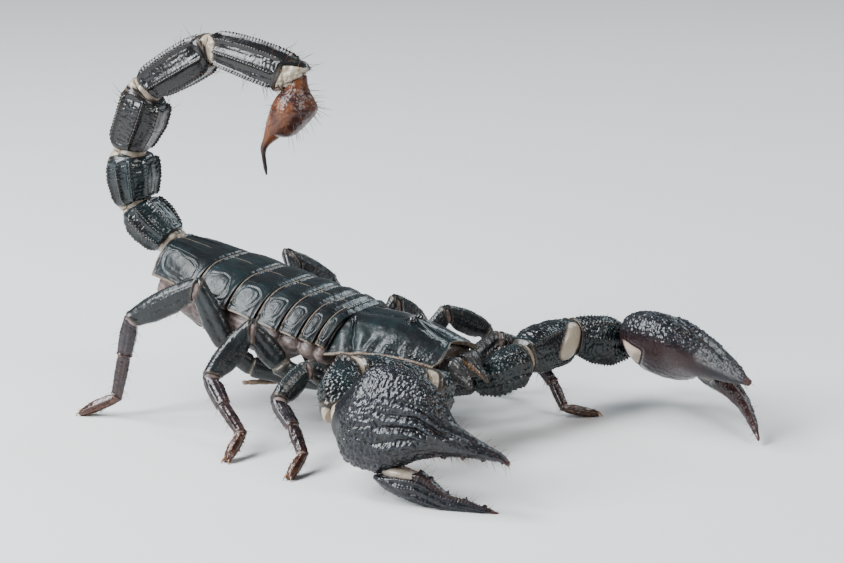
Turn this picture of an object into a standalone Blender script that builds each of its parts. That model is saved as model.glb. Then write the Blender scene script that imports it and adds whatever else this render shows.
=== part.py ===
"""Emperor scorpion, life size, standing with its tail curled over its back.

Millimetres in the numbers, metres in the model.  The animal faces +X, its left side is +Y.
Run with: blender --background --python part.py
"""
import math

import bmesh
import bpy
from mathutils import Vector

MM = 0.001
GAP = 0.3                 # clearance between two pieces that touch in life

# ---------------------------------------------------------------- driving sizes
BACK_HEIGHT = 22.2        # rear edge of the carapace above the floor
BACK_PITCH = math.radians(11.2)   # the body slopes down towards the head
PLATE = 0.9               # thickness of a back plate
INSET = 0.7               # its underside stops this far inside its edge
ARCH = 5.0                # how far a back plate's side edge lies below its middle
ARCH_POWER = 4.0
TRUNK_TURN = 0.10         # how much steeper the last plate's sides get, per mm
PLATE_CROWN = 0.25        # each plate swells this much between its front and rear edge
BELLY_DEPTH = 12.6        # belly below the back line
BELLY_TAPER = 2.2         # how much shallower the belly is at the tail
COXA_TOP = 9.7            # top of the leg bases where they reach back under the trunk
COXA_BACK = 9.0           # how far they reach back
TERGITE_LENGTHS = (2.4, 3.4, 4.3, 5.4, 6.7, 8.1, 11.9)
TERGITE_HALF_WIDTHS = (11.7, 12.2, 12.5, 12.6, 12.4, 12.0, 11.3, 7.3)
CARAPACE_LENGTH = 21.0
CARAPACE_REAR = 11.2      # half widths
CARAPACE_FRONT = 7.6
CARAPACE_NOTCH = 2.0      # depth of the notch between the two front lobes
LOBE_HALF_WIDTH = 6.2     # from the notch to where the front edge turns back
CARAPACE_CROWN = 1.4      # swell of the middle line between the rear and front edges
CARAPACE_REAR_DROP = 6.4  # side edges below the middle line at the rear
CARAPACE_FRONT_DROP = 2.4 # and at the front
EYE_MOUND = 0.9           # height of the low mound that carries the eyes
MIDDLE_GROOVE = 0.35      # depth of the groove along the middle
EYE_AT = 11.0             # median eyes, forward of the carapace's rear edge
EYE_APART = 1.35          # each eye's distance from the midline
EYE_RADIUS = 0.75

# Tail joints from the trunk to the end of the fifth segment.
TAIL_JOINTS = ((-43.2, 0.0, 29.2), (-50.7, -0.8, 35.6), (-51.9, -1.0, 45.9),
               (-48.3, 0.0, 58.0), (-35.3, 3.5, 66.3), (-17.6, 5.0, 62.2))
TAIL_HALF_WIDTHS = (4.6, 4.7, 4.4, 3.9, 3.6)
TAIL_HALF_DEPTHS = (4.0, 4.6, 4.6, 4.0, 4.0)
TAIL_LIFTS = (0.0, 0.4, 0.8, 0.2, 0.0)   # the upper side bulges more than the lower
VESICLE_JOINTS = ((-17.6, 5.0, 62.2), (-17.9, 4.4, 55.6), (-22.0, 3.8, 52.3))
STING_JOINTS = ((-22.0, 3.8, 52.3), (-24.4, 3.4, 48.4), (-23.3, 3.0, 43.8))

# Leg joints: base, end of trochanter, knee, end of patella, end of tibia,
# end of the long foot joint, claw tip.  Legs 1 to 4 from the head back.
RIGHT_LEGS = (
    ((10.2, -9.0, 10.0), (12.0, -11.0, 10.0), (11.3, -16.4, 11.6), (12.0, -24.0, 7.6),
     (15.5, -25.5, 5.0), (18.5, -22.5, 1.9), (23.5, -20.0, 0.4)),
    ((4.6, -9.8, 10.8), (2.4, -11.4, 11.6), (-1.2, -17.0, 14.9), (-2.3, -24.5, 10.5),
     (2.4, -26.5, 7.2), (5.6, -28.2, 3.1), (6.2, -33.6, 0.4)),
    ((-2.2, -9.9, 10.4), (-7.9, -12.6, 11.5), (-13.5, -16.4, 20.2), (-18.3, -22.5, 11.9),
     (-13.8, -24.8, 8.0), (-9.1, -26.0, 3.9), (-8.6, -31.4, 0.4)),
    ((-12.2, -7.2, 9.6), (-19.7, -12.6, 12.0), (-26.5, -14.7, 25.8), (-39.3, -18.0, 18.6),
     (-40.7, -18.5, 11.6), (-42.0, -19.5, 3.7), (-48.4, -22.3, 0.4)),
)
LEFT_LEGS = (
    ((11.0, 9.0, 10.0), (14.2, 11.6, 10.8), (16.5, 20.0, 14.5), (21.8, 25.0, 9.8),
     (25.4, 25.0, 5.9), (28.4, 24.0, 1.9), (33.3, 28.0, 0.4)),
    ((4.6, 9.8, 10.8), (4.4, 12.0, 12.0), (7.0, 17.0, 18.6), (11.1, 25.0, 13.8),
     (10.5, 28.0, 8.0), (9.6, 29.0, 3.2), (10.5, 33.8, 0.4)),
    ((-2.2, 9.9, 10.4), (-5.0, 12.4, 12.0), (-4.0, 16.8, 18.8), (-2.8, 25.4, 12.0),
     (-2.4, 28.6, 7.2), (-2.4, 30.4, 3.4), (-1.0, 36.0, 0.4)),
    ((-12.2, 7.2, 9.6), (-20.4, 12.8, 13.0), (-27.6, 16.6, 24.4), (-25.4, 27.6, 17.6),
     (-24.9, 30.4, 11.6), (-25.4, 32.0, 4.0), (-29.0, 37.4, 0.4)),
)
# Half thickness and half depth of the leg pieces, leg 4; the others scale with LEG_SCALE.
FEMUR = (1.45, 2.35)
PATELLA = (1.5, 2.5)
TIBIA = (1.2, 1.65)
FOOT = (1.0, 1.2)
LEG_SCALE = (0.80, 0.88, 0.95, 1.0)

# Arms: base, middle of the trochanter, its outer end, end of the femur, wrist.
RIGHT_ARM = ((14.8, -5.2, 8.6), (22.4, -9.4, 12.2), (20.8, -13.4, 14.4),
             (11.6, -22.8, 17.0), (14.6, -31.6, 12.6))
LEFT_ARM = ((14.8, 5.2, 8.6), (24.2, 9.6, 11.4), (24.7, 14.8, 13.2),
            (26.1, 29.9, 13.9), (35.0, 40.1, 11.2))
ARM_FEMUR = (3.5, 4.4)
ARM_PATELLA = (4.0, 4.6)

# Claws: the wrist, the direction the fingers point, and the direction from the
# moving finger to the fixed one.
RIGHT_CLAW = ((14.6, -31.6, 12.6), (0.976, 0.020, -0.208), (0.194, 0.263, 0.945))
LEFT_CLAW = ((35.0, 40.1, 11.2), (0.951, -0.309, 0.031), (-0.262, -0.745, 0.613))
# Along the claw: distance from the wrist, lower edge, upper edge, half thickness.
HAND = ((0.0, -0.8, 3.6, 1.8), (2.8, -4.4, 8.8, 3.5), (5.0, -6.3, 10.9, 4.7),
        (8.0, -6.5, 11.9, 5.1), (11.4, -6.0, 12.2, 5.0), (14.0, -4.2, 11.9, 4.8),
        (16.6, -1.9, 10.9, 4.4), (19.0, -0.4, 8.8, 3.9), (21.6, 0.8, 6.7, 3.4),
        (26.0, 2.2, 5.7, 2.6), (30.0, 3.2, 5.2, 1.8), (33.3, 4.0, 4.7, 0.5))
FINGER = ((11.0, -7.4, -6.45, 1.4), (12.6, -8.0, -5.8, 2.0), (14.4, -8.4, -5.1, 2.3),
          (16.8, -8.7, -4.1, 2.3), (18.9, -8.7, -3.0, 2.1), (21.3, -8.6, -3.8, 1.9),
          (24.6, -8.2, -5.2, 1.6), (27.8, -7.4, -4.9, 1.3), (30.8, -6.5, -5.0, 1.0),
          (33.4, -5.7, -5.0, 0.4))
FINGER_HINGE = (11.0, -5.8)
# How far the fixed fingertip curves in from the hand's plane, the moving finger's
# swing, and how far its tip curves in.  The left claw stands open wider.
RIGHT_OPENING = (0.5, 0.0, 3.0)
LEFT_OPENING = (3.1, math.radians(-1.0), 10.0)

SHELL = ("shell_blue_black", (0.020, 0.028, 0.032), 0.25)
LEG_SHELL = ("leg_dark_olive", (0.030, 0.036, 0.034), 0.25)
CLAW_SHELL = ("claw_granular_black", (0.030, 0.034, 0.040), 0.35)
MEMBRANE = ("belly_grey_brown", (0.150, 0.115, 0.100), 0.55)
VENOM = ("telson_red_brown", (0.180, 0.050, 0.022), 0.30)
STING = ("sting_dark_red", (0.060, 0.012, 0.010), 0.20)
EYE = ("eye_black", (0.010, 0.010, 0.012), 0.05)
COMB = ("comb_cream", (0.420, 0.340, 0.270), 0.50)


# ---------------------------------------------------------------- helpers
def finish_material(finish):
    """One Principled material for each finish, made the first time it is asked for."""
    name, colour, roughness = finish
    material = bpy.data.materials.get(name)
    if material:
        return material
    material = bpy.data.materials.new(name)
    material.use_nodes = True
    shader = material.node_tree.nodes["Principled BSDF"]
    shader.inputs["Base Color"].default_value = (*colour, 1.0)
    shader.inputs["Roughness"].default_value = roughness
    shader.inputs["Metallic"].default_value = 0.0
    return material


def add_solid(name, points, faces, finish):
    """A closed mesh object from points in millimetres."""
    mesh = bpy.data.meshes.new(name)
    mesh.from_pydata([Vector(p) * MM for p in points], [], faces)
    shape = bmesh.new()
    shape.from_mesh(mesh)
    bmesh.ops.recalc_face_normals(shape, faces=shape.faces)
    shape.to_mesh(mesh)
    shape.free()
    mesh.materials.append(finish_material(finish))
    solid = bpy.data.objects.new(name, mesh)
    bpy.context.scene.collection.objects.link(solid)
    return solid


def add_loft(name, rings, finish):
    """Join rings of equal point count into a tube with flat ends."""
    count = len(rings[0])
    points = [p for ring in rings for p in ring]
    faces = []
    for r in range(len(rings) - 1):
        for i in range(count):
            j = (i + 1) % count
            faces.append((r * count + i, r * count + j, (r + 1) * count + j, (r + 1) * count + i))
    faces.append(tuple(range(count)))
    faces.append(tuple((len(rings) - 1) * count + i for i in range(count)))
    return add_solid(name, points, faces, finish)


def signed_power(value, power):
    return math.copysign(abs(value) ** power, value)


def oval(centre, side, up, half_width, half_height, sides, squareness=1.0):
    """Points round a centre; squareness below 1 fills out the corners."""
    ring = []
    for i in range(sides):
        angle = 2 * math.pi * (i + 0.5) / sides
        across = half_width * signed_power(math.cos(angle), squareness)
        above = half_height * signed_power(math.sin(angle), squareness)
        ring.append(centre + side * across + up * above)
    return ring


def square_to(direction, reference):
    """The part of a reference direction that is square to another, as a unit vector."""
    return (reference - direction * reference.dot(direction)).normalized()


def slide_onto_plane(ring, direction, origin, normal):
    return [p + direction * ((origin - p).dot(normal) / direction.dot(normal)) for p in ring]


def on_the_floor(ring):
    """Flatten whatever would reach below the floor."""
    return [Vector((p.x, p.y, max(p.z, 0.0))) for p in ring]


def add_limb(name, joints, stations, side, finish, before=None, after=None, sides=8,
             squareness=0.9):
    """A tube along a run of joints.

    Stations are (position along the run counted in joints, half thickness, half depth) and
    may end with a shift of the middle towards the inside of the bend.
    An end that meets another piece is cut on the plane that halves the bend, where
    before and after are the neighbours' far joints.
    """
    joints = [Vector(j) for j in joints]
    side = Vector(side)
    runs = [(b - a).normalized() for a, b in zip(joints, joints[1:])]
    rings = []
    for position, half_width, half_depth, *shift in stations:
        index = min(int(position), len(runs) - 1)
        centre = joints[index].lerp(joints[index + 1], position - index)
        direction = runs[index]
        inner_joint = position == index and 0 < index < len(joints) - 1
        bisector = (runs[index - 1] + runs[index]).normalized() if inner_joint else direction
        across = square_to(bisector, side)
        up = across.cross(bisector)
        centre = centre + up * sum(shift)
        ring = oval(centre, across, up, half_width, half_depth, sides, squareness)
        if position == 0 and before is not None:
            plane = ((joints[0] - Vector(before)).normalized() + direction).normalized()
            ring = slide_onto_plane(ring, direction, centre + plane * GAP / 2, plane)
        if position == len(joints) - 1 and after is not None:
            plane = ((Vector(after) - joints[-1]).normalized() + direction).normalized()
            ring = slide_onto_plane(ring, direction, centre - plane * GAP / 2, plane)
        rings.append(on_the_floor(ring))
    return add_loft(name, rings, finish)


def on_body(forward, left, above):
    """A place given along the sloping back, from the middle of the carapace's rear edge."""
    return Vector((forward * math.cos(BACK_PITCH) + above * math.sin(BACK_PITCH),
                   left,
                   BACK_HEIGHT - forward * math.sin(BACK_PITCH) + above * math.cos(BACK_PITCH)))


# ---------------------------------------------------------------- trunk and back plates
def tergite_edges():
    """Distances behind the carapace of the borders between back plates."""
    edges = [0.0]
    for length in TERGITE_LENGTHS:
        edges.append(edges[-1] + length)
    return edges


def arch(left, half_width, drop):
    return -drop * (abs(left) / half_width) ** ARCH_POWER


def trunk_half_width(behind):
    edges = tergite_edges()
    for i in range(len(TERGITE_LENGTHS)):
        if behind <= edges[i + 1]:
            share = (behind - edges[i]) / TERGITE_LENGTHS[i]
            return TERGITE_HALF_WIDTHS[i] * (1 - share) + TERGITE_HALF_WIDTHS[i + 1] * share
    return TERGITE_HALF_WIDTHS[-1]


def trunk_drop(behind):
    """The last plate's sides turn down further, to close round the tail's root."""
    last = tergite_edges()[-2]
    return ARCH + max(0.0, behind - last) * TRUNK_TURN


def add_tergite(number):
    """One arched back plate with an underside parallel to its top."""
    edges = tergite_edges()
    front = edges[number - 1] + GAP / 2
    rear = edges[number] - GAP / 2
    rows = (front, (front + rear) / 2, rear)
    across = 12
    top, under = [], []
    for behind in rows:
        half = trunk_half_width(behind)
        drop = trunk_drop(behind)
        crown = PLATE_CROWN * math.sin(math.pi * (behind - front) / (rear - front))
        for i in range(across + 1):
            left = half * (2 * i / across - 1)
            height = arch(left, half, drop) + crown
            top.append(on_body(-behind, left, height))
            under.append(on_body(-behind, left * (1 - INSET / half), height - crown - PLATE))
    add_plate(f"tergite_{number}", top, under, across + 1)


def add_plate(name, top, under, columns):
    """A closed shell plate from two equal grids of points."""
    rows = len(top) // columns
    offset = len(top)
    faces = []
    for r in range(rows - 1):
        for c in range(columns - 1):
            a, b = r * columns + c, r * columns + c + 1
            d, e = a + columns, b + columns
            faces.append((a, b, e, d))
            faces.append((offset + a, offset + d, offset + e, offset + b))
    border = list(range(columns))
    border += [r * columns + columns - 1 for r in range(1, rows)]
    border += [(rows - 1) * columns + c for c in range(columns - 2, -1, -1)]
    border += [r * columns for r in range(rows - 2, 0, -1)]
    for a, b in zip(border, border[1:] + border[:1]):
        faces.append((a, b, offset + b, offset + a))
    return add_solid(name, top + under, faces, SHELL)


def add_trunk():
    """Everything under the back plates: the folded side skin and the belly plates."""
    edges = tergite_edges()
    step = COXA_BACK + 0.6
    rows = [GAP] + edges[1:3] + [COXA_BACK + 0.2, step] + edges[3:] + [edges[-1] + 0.4]
    rings = []
    for behind in rows:
        half = trunk_half_width(behind)
        drop = trunk_drop(behind)
        tail_share = max(0.0, (behind - edges[-2]) / TERGITE_LENGTHS[-1])
        belly = BELLY_DEPTH - BELLY_TAPER * tail_share
        if behind < step:
            belly = COXA_TOP - GAP
        ring = []
        for i in range(-6, 7):
            share = i / 6
            left = (half - INSET - GAP) * share
            ring.append(on_body(-behind, left, arch(share, 1.0, drop) - PLATE - 1.3 * GAP))
        side_drop = drop + PLATE + GAP
        flank = ((0.35, half - 0.5), (0.75, half - 2.4), (1.0, half - 5.0))
        for share, out in flank:
            ring.append(on_body(-behind, out, -side_drop - (belly - side_drop) * share))
        for share, out in reversed(flank):
            ring.append(on_body(-behind, -out, -side_drop - (belly - side_drop) * share))
        rings.append(ring)
    add_loft("trunk", rings, MEMBRANE)


# ---------------------------------------------------------------- head end
def carapace_half_width(share):
    return CARAPACE_REAR + (CARAPACE_FRONT - CARAPACE_REAR) * share ** 1.3


def carapace_top(forward, left):
    """Height of the head shield over the back line, with the eye mound and middle groove."""
    share = min(max(forward / CARAPACE_LENGTH, 0.0), 1.0)
    half = carapace_half_width(share)
    crown = CARAPACE_CROWN * math.sin(math.pi * share * 0.95) - 0.3 * share
    drop = CARAPACE_REAR_DROP + (CARAPACE_FRONT_DROP - CARAPACE_REAR_DROP) * share
    mound = EYE_MOUND * math.exp(-((forward - EYE_AT) / 2.4) ** 2 - (left / 2.2) ** 2)
    beside_eyes = 1 - math.exp(-((forward - EYE_AT) / 3.5) ** 2)
    groove = MIDDLE_GROOVE * math.exp(-(left / 1.2) ** 2) * beside_eyes
    return crown - drop * (abs(left) / half) ** 2.6 + mound - groove


def carapace_front(left):
    """The front edge: two rounded lobes with a notch between them."""
    share = min(abs(left) / LOBE_HALF_WIDTH, 1.25)
    notch = CARAPACE_NOTCH * (1 - min(share, 1.0)) ** 1.5
    turned_back = 3.0 * max(share - 1.0, 0.0)
    return CARAPACE_LENGTH - notch - turned_back


def add_carapace():
    rows, columns = 12, 17
    top, under = [], []
    for r in range(rows):
        share = r / (rows - 1)
        for c in range(columns):
            spread = 2 * c / (columns - 1) - 1
            reach = carapace_front(spread * CARAPACE_FRONT)
            forward = GAP / 2 + (reach - GAP / 2) * share
            left = spread * carapace_half_width(forward / CARAPACE_LENGTH)
            height = carapace_top(forward, left)
            top.append(on_body(forward, left, height))
            under.append(on_body(forward - 0.3 * share, left * 0.955, height - PLATE - 0.1))
    shield = add_plate("carapace", top, under, columns)
    for sign in (-1, 1):
        place = eye_centre(sign)
        socket = add_ball(f"socket_{sign}", place, EYE_RADIUS + GAP)
        cut = shield.modifiers.new("eye socket", "BOOLEAN")
        cut.operation = "DIFFERENCE"
        cut.solver = "EXACT"
        cut.object = socket
        socket.hide_render = True
        socket.display_type = "WIRE"


def eye_centre(sign):
    return on_body(EYE_AT, sign * EYE_APART, carapace_top(EYE_AT, EYE_APART) + 0.15)


def add_ball(name, centre, radius):
    mesh = bpy.data.meshes.new(name)
    shape = bmesh.new()
    bmesh.ops.create_icosphere(shape, subdivisions=2, radius=radius * MM)
    bmesh.ops.translate(shape, verts=shape.verts, vec=centre * MM)
    shape.to_mesh(mesh)
    shape.free()
    mesh.materials.append(finish_material(EYE))
    ball = bpy.data.objects.new(name, mesh)
    bpy.context.scene.collection.objects.link(ball)
    return ball


def add_head_base():
    """Underside of the head: the eight leg bases and the breast plate in one block."""
    rings = []
    # forward, half width at the top, half width lower down, top (or as high as the shield
    # allows), bottom
    for forward, upper, lower, top, bottom in (
            (-COXA_BACK, 5.4, 4.4, COXA_TOP, 11.4), (-6.0, 7.6, 5.4, COXA_TOP, 13.0),
            (-0.1, 8.0, 6.6, COXA_TOP, 13.2), (0.2, 8.0, 6.6, 0.0, 13.2),
            (6.0, 7.9, 6.4, 0.0, 13.0), (11.5, 6.0, 4.8, 0.0, 12.4),
            (13.6, 3.4, 2.4, 0.0, 10.8)):
        ring = []
        for share in (-1.0, -0.55, 0.55, 1.0):
            shield = carapace_top(forward, share * upper) - PLATE - 2.2 * GAP
            ring.append(on_body(forward, share * upper, min(-top, shield)))
        ring.append(on_body(forward, upper, -(top + bottom) / 2))
        ring.append(on_body(forward, lower, -bottom + 0.9))
        ring.append(on_body(forward, lower * 0.4, -bottom))
        ring.append(on_body(forward, -lower * 0.4, -bottom))
        ring.append(on_body(forward, -lower, -bottom + 0.9))
        ring.append(on_body(forward, -upper, -(top + bottom) / 2))
        rings.append(ring)
    add_loft("head_underside", rings, MEMBRANE)


def add_chelicera(side_name, sign):
    """One of the two short jaws: a square root and a blunt tip that bends down."""
    rings = []
    for forward, left, above, half_width, half_height in (
            (16.6, 2.4, -4.6, 1.8, 1.6), (19.5, 2.5, -4.4, 2.1, 2.4), (22.4, 2.7, -3.7, 2.2, 2.8),
            (24.4, 2.6, -4.2, 1.8, 2.4), (25.8, 2.3, -5.4, 1.0, 1.4)):
        centre = on_body(forward, left * sign, above)
        nose = on_body(1.0, 0.0, 0.0) - on_body(0.0, 0.0, 0.0)
        up = on_body(0.0, 0.0, 1.0) - on_body(0.0, 0.0, 0.0)
        rings.append(oval(centre, up.cross(nose), up, half_width, half_height, 8, 0.8))
    add_loft(f"chelicera_{side_name}", rings, SHELL)


def add_pecten(side_name, sign):
    """The comb under the body, a thin tapered blade that points out and back."""
    add_limb(f"pecten_{side_name}",
             ((-12.6, 2.0 * sign, 8.6), (-15.2, 7.0 * sign, 7.9), (-18.9, 11.6 * sign, 8.2)),
             ((0, 0.5, 1.0), (1, 0.5, 1.1), (2, 0.35, 0.7)),
             (0.0, 0.0, 1.0), COMB, sides=6)


# ---------------------------------------------------------------- tail
def add_tail():
    side = (-0.10, 1.0, 0.0)
    joints = TAIL_JOINTS
    for i in range(5):
        before = joints[i - 1] if i else None
        after = joints[i + 2] if i < 4 else VESICLE_JOINTS[1]
        width, depth, lift = TAIL_HALF_WIDTHS[i], TAIL_HALF_DEPTHS[i], TAIL_LIFTS[i]
        stations = ((0, width * 0.66, depth * 0.68), (0.16, width * 0.86, depth * 0.88),
                    (0.50, width, depth, lift), (0.80, width * 1.02, depth * 0.97, lift),
                    (1, width * 0.70, depth * 0.68))
        add_limb(f"tail_segment_{i + 1}", joints[i:i + 2], stations, side, SHELL,
                 before, after, sides=10, squareness=0.85)
    add_limb("telson_vesicle", VESICLE_JOINTS,
             ((0, 1.7, 1.7), (0.32, 2.2, 2.2), (0.60, 3.9, 3.7), (0.9, 4.7, 4.4),
              (1.55, 3.7, 3.4), (2, 2.2, 2.0)),
             side, VENOM, joints[4], STING_JOINTS[1], sides=12, squareness=1.0)
    add_limb("sting", STING_JOINTS,
             ((0, 1.9, 1.7), (0.5, 1.4, 1.3), (1, 1.0, 0.9), (1.5, 0.6, 0.6), (2, 0.28, 0.28)),
             side, STING, VESICLE_JOINTS[1], None, sides=8, squareness=1.0)


# ---------------------------------------------------------------- legs
def scaled(size, factor):
    return size[0] * factor, size[1] * factor


def add_leg(side_name, number, joints):
    base, hip, knee, shin, ankle, heel, toe = [Vector(j) for j in joints]
    scale = LEG_SCALE[number - 1]
    name = f"{side_name}_leg_{number}"
    bend = (knee - hip).cross(shin - knee).normalized()
    thigh_w, thigh_d = scaled(FEMUR, scale)
    add_limb(f"{name}_femur", (base, hip, knee),
             ((0, thigh_w * 1.05, thigh_w * 1.1), (0.65, thigh_w * 1.2, thigh_d * 0.82),
              (1.18, thigh_w, thigh_d * 0.85), (1.55, thigh_w, thigh_d),
              (2, thigh_w * 0.85, thigh_d * 0.72)),
             bend, LEG_SHELL, None, shin)
    calf_w, calf_d = scaled(PATELLA, scale)
    add_limb(f"{name}_patella", (knee, shin),
             ((0, calf_w * 0.85, calf_d * 0.62), (0.35, calf_w, calf_d),
              (0.7, calf_w, calf_d * 0.95), (1, calf_w * 0.85, calf_d * 0.6)),
             bend, LEG_SHELL, hip, ankle)
    tibia_w, tibia_d = scaled(TIBIA, scale)
    foot_w, foot_d = scaled(FOOT, scale)
    add_limb(f"{name}_foot", (shin, ankle, heel, toe),
             ((0, tibia_w * 0.85, tibia_d * 0.8), (0.35, tibia_w, tibia_d),
              (1, tibia_w * 0.9, tibia_d * 0.85), (1.4, foot_w, foot_d),
              (2, foot_w * 0.95, foot_d * 0.95), (2.55, foot_w, foot_d * 0.9),
              (2.85, foot_w * 1.2, foot_d * 0.55), (3, foot_w * 0.9, 0.5)),
             bend, LEG_SHELL, knee, None)


# ---------------------------------------------------------------- arms and claws
def add_arm(side_name, joints, claw):
    base, trochanter, hip, elbow, wrist = [Vector(j) for j in joints]
    up = (0.0, 0.0, 1.0)
    add_limb(f"{side_name}_arm_base", (base, trochanter, hip),
             ((0, 1.9, 1.9), (0.5, 2.5, 2.5), (0.8, 3.8, 3.7), (1.3, 4.1, 3.9), (2, 2.9, 2.7)),
             up, SHELL, None, elbow, sides=10)
    thick, deep = ARM_FEMUR
    add_limb(f"{side_name}_arm_femur", (hip, elbow),
             ((0, deep * 0.66, thick * 0.7), (0.25, deep * 0.92, thick * 0.95),
              (0.7, deep, thick), (1, deep * 0.72, thick * 0.72)),
             up, SHELL, trochanter, wrist, sides=10, squareness=0.8)
    thick, deep = ARM_PATELLA
    hand = Vector(claw[0]) + Vector(claw[1]) * 10
    add_limb(f"{side_name}_arm_patella", (elbow, wrist),
             ((0, deep * 0.66, thick * 0.66), (0.3, deep * 0.96, thick * 0.96),
              (0.6, deep, thick), (1, deep * 0.44, thick * 0.48)),
             up, SHELL, hip, hand, sides=10, squareness=0.85)


def claw_ring(claw, outward_sign, bow, along, low, high, half_thickness, sides, squareness):
    wrist, direction, rise = [Vector(v) for v in claw]
    direction.normalize()
    rise = square_to(direction, rise)
    outward = direction.cross(rise) * outward_sign
    reach = max(along - FINGER_HINGE[0], 0.0) / (HAND[-1][0] - FINGER_HINGE[0])
    centre = wrist + direction * along + rise * (low + high) / 2 - outward * bow * reach ** 2
    return oval(centre, outward, rise, half_thickness, (high - low) / 2, sides, squareness)


def open_finger(along, above, spread):
    """Swing a point of the moving finger about its hinge."""
    out, rise = along - FINGER_HINGE[0], above - FINGER_HINGE[1]
    return (FINGER_HINGE[0] + out * math.cos(spread) + rise * math.sin(spread),
            FINGER_HINGE[1] - out * math.sin(spread) + rise * math.cos(spread))


def add_claw(side_name, claw, elbow, outward_sign, opening):
    wrist, direction = Vector(claw[0]), Vector(claw[1]).normalized()
    bend = ((wrist - Vector(elbow)).normalized() + direction).normalized()
    hand_bow, spread, finger_bow = opening
    rings = [claw_ring(claw, outward_sign, hand_bow, *row, 14, 0.95) for row in HAND]
    rings[0] = slide_onto_plane(rings[0], direction, wrist + bend * GAP / 2, bend)
    add_loft(f"{side_name}_claw_hand", [on_the_floor(r) for r in rings], CLAW_SHELL)
    rings = []
    for along, low, high, half_thickness in FINGER:
        lower = open_finger(along, low, spread)
        upper = open_finger(along, high, spread)
        middle = ((lower[0] + upper[0]) / 2, (lower[1] + upper[1]) / 2)
        half = (high - low) / 2
        ring = claw_ring(claw, outward_sign, finger_bow, middle[0], middle[1] - half,
                         middle[1] + half, half_thickness, 8, 0.9)
        rings.append(on_the_floor(ring))
    add_loft(f"{side_name}_claw_finger", rings, CLAW_SHELL)


def centre_over_origin():
    """Put the middle of the footprint on the origin and the lowest point on the floor."""
    solids = [o for o in bpy.context.scene.objects if not o.hide_render]
    corners = [v.co for o in solids for v in o.data.vertices]
    shift = Vector((-(min(c.x for c in corners) + max(c.x for c in corners)) / 2,
                    -(min(c.y for c in corners) + max(c.y for c in corners)) / 2,
                    -min(c.z for c in corners)))
    for thing in bpy.context.scene.objects:
        for vertex in thing.data.vertices:
            vertex.co += shift


def build():
    for thing in list(bpy.data.objects):
        bpy.data.objects.remove(thing)
    add_trunk()
    for number in range(1, 8):
        add_tergite(number)
    add_carapace()
    add_head_base()
    for side_name, sign in (("right", -1), ("left", 1)):
        add_ball(f"median_eye_{side_name}", eye_centre(sign), EYE_RADIUS)
        add_chelicera(side_name, sign)
        add_pecten(side_name, sign)
    add_tail()
    for side_name, legs in (("right", RIGHT_LEGS), ("left", LEFT_LEGS)):
        for number, joints in enumerate(legs, start=1):
            add_leg(side_name, number, joints)
    add_arm("right", RIGHT_ARM, RIGHT_CLAW)
    add_arm("left", LEFT_ARM, LEFT_CLAW)
    add_claw("right", RIGHT_CLAW, RIGHT_ARM[3], 1, RIGHT_OPENING)
    add_claw("left", LEFT_CLAW, LEFT_ARM[3], -1, LEFT_OPENING)
    centre_over_origin()


build()
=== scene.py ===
"""Looks of an emperor scorpion, life size, in metres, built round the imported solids.

The animal faces +X, its left side is +Y, and it stands on the floor at z = 0.
"""
import math

import bmesh
import bpy
import numpy as np
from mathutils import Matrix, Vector
from mathutils.bvhtree import BVHTree


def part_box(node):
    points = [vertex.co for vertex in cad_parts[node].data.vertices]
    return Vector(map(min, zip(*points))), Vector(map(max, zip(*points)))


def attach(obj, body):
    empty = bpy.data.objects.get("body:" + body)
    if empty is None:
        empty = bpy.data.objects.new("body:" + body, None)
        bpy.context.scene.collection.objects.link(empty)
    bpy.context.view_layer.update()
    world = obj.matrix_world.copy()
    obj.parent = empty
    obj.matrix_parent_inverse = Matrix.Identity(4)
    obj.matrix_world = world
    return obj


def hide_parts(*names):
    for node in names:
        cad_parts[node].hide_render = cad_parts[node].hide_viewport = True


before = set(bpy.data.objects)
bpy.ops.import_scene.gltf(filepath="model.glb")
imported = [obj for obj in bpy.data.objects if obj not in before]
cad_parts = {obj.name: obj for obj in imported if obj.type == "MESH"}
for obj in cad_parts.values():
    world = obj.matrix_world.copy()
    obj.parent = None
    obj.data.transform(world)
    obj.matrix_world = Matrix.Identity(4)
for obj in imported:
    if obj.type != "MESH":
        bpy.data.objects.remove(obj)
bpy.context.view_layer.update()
MM = 0.001


# ---------------------------------------------------------------- floor, lights and camera
# A pale sheet of card runs under the model.  A tall soft box stands on the animal's right,
# a second one behind it picks out the far edges, and a weak one fills in from the front.
def bare_material(name, colour, roughness):
    material = bpy.data.materials.new(name)
    material.use_nodes = True
    shader = material.node_tree.nodes["Principled BSDF"]
    shader.inputs["Base Color"].default_value = (*colour, 1.0)
    shader.inputs["Roughness"].default_value = roughness
    return material


floor_mesh = bpy.data.meshes.new("floor")
floor_mesh.from_pydata([(-3, -3, 0), (3, -3, 0), (3, 3, 0), (-3, 3, 0)], [], [(0, 1, 2, 3)])
floor_mesh.materials.append(bare_material("floor", (0.68, 0.68, 0.68), 0.65))
floor = bpy.data.objects.new("floor", floor_mesh)
bpy.context.scene.collection.objects.link(floor)

world = bpy.data.worlds.new("studio")
world.use_nodes = True
world.node_tree.nodes["Background"].inputs["Color"].default_value = (0.80, 0.86, 0.93, 1.0)
world.node_tree.nodes["Background"].inputs["Strength"].default_value = 0.24
bpy.context.scene.world = world

AIM = Vector((0.00506, -0.00077, 0.0281))


def towards(azimuth, elevation):
    """Unit vector from the model to a place round it; azimuth 0 is the animal's right."""
    turn, rise = math.radians(azimuth), math.radians(elevation)
    return Vector((math.sin(turn) * math.cos(rise), -math.cos(turn) * math.cos(rise),
                   math.sin(rise)))


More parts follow.
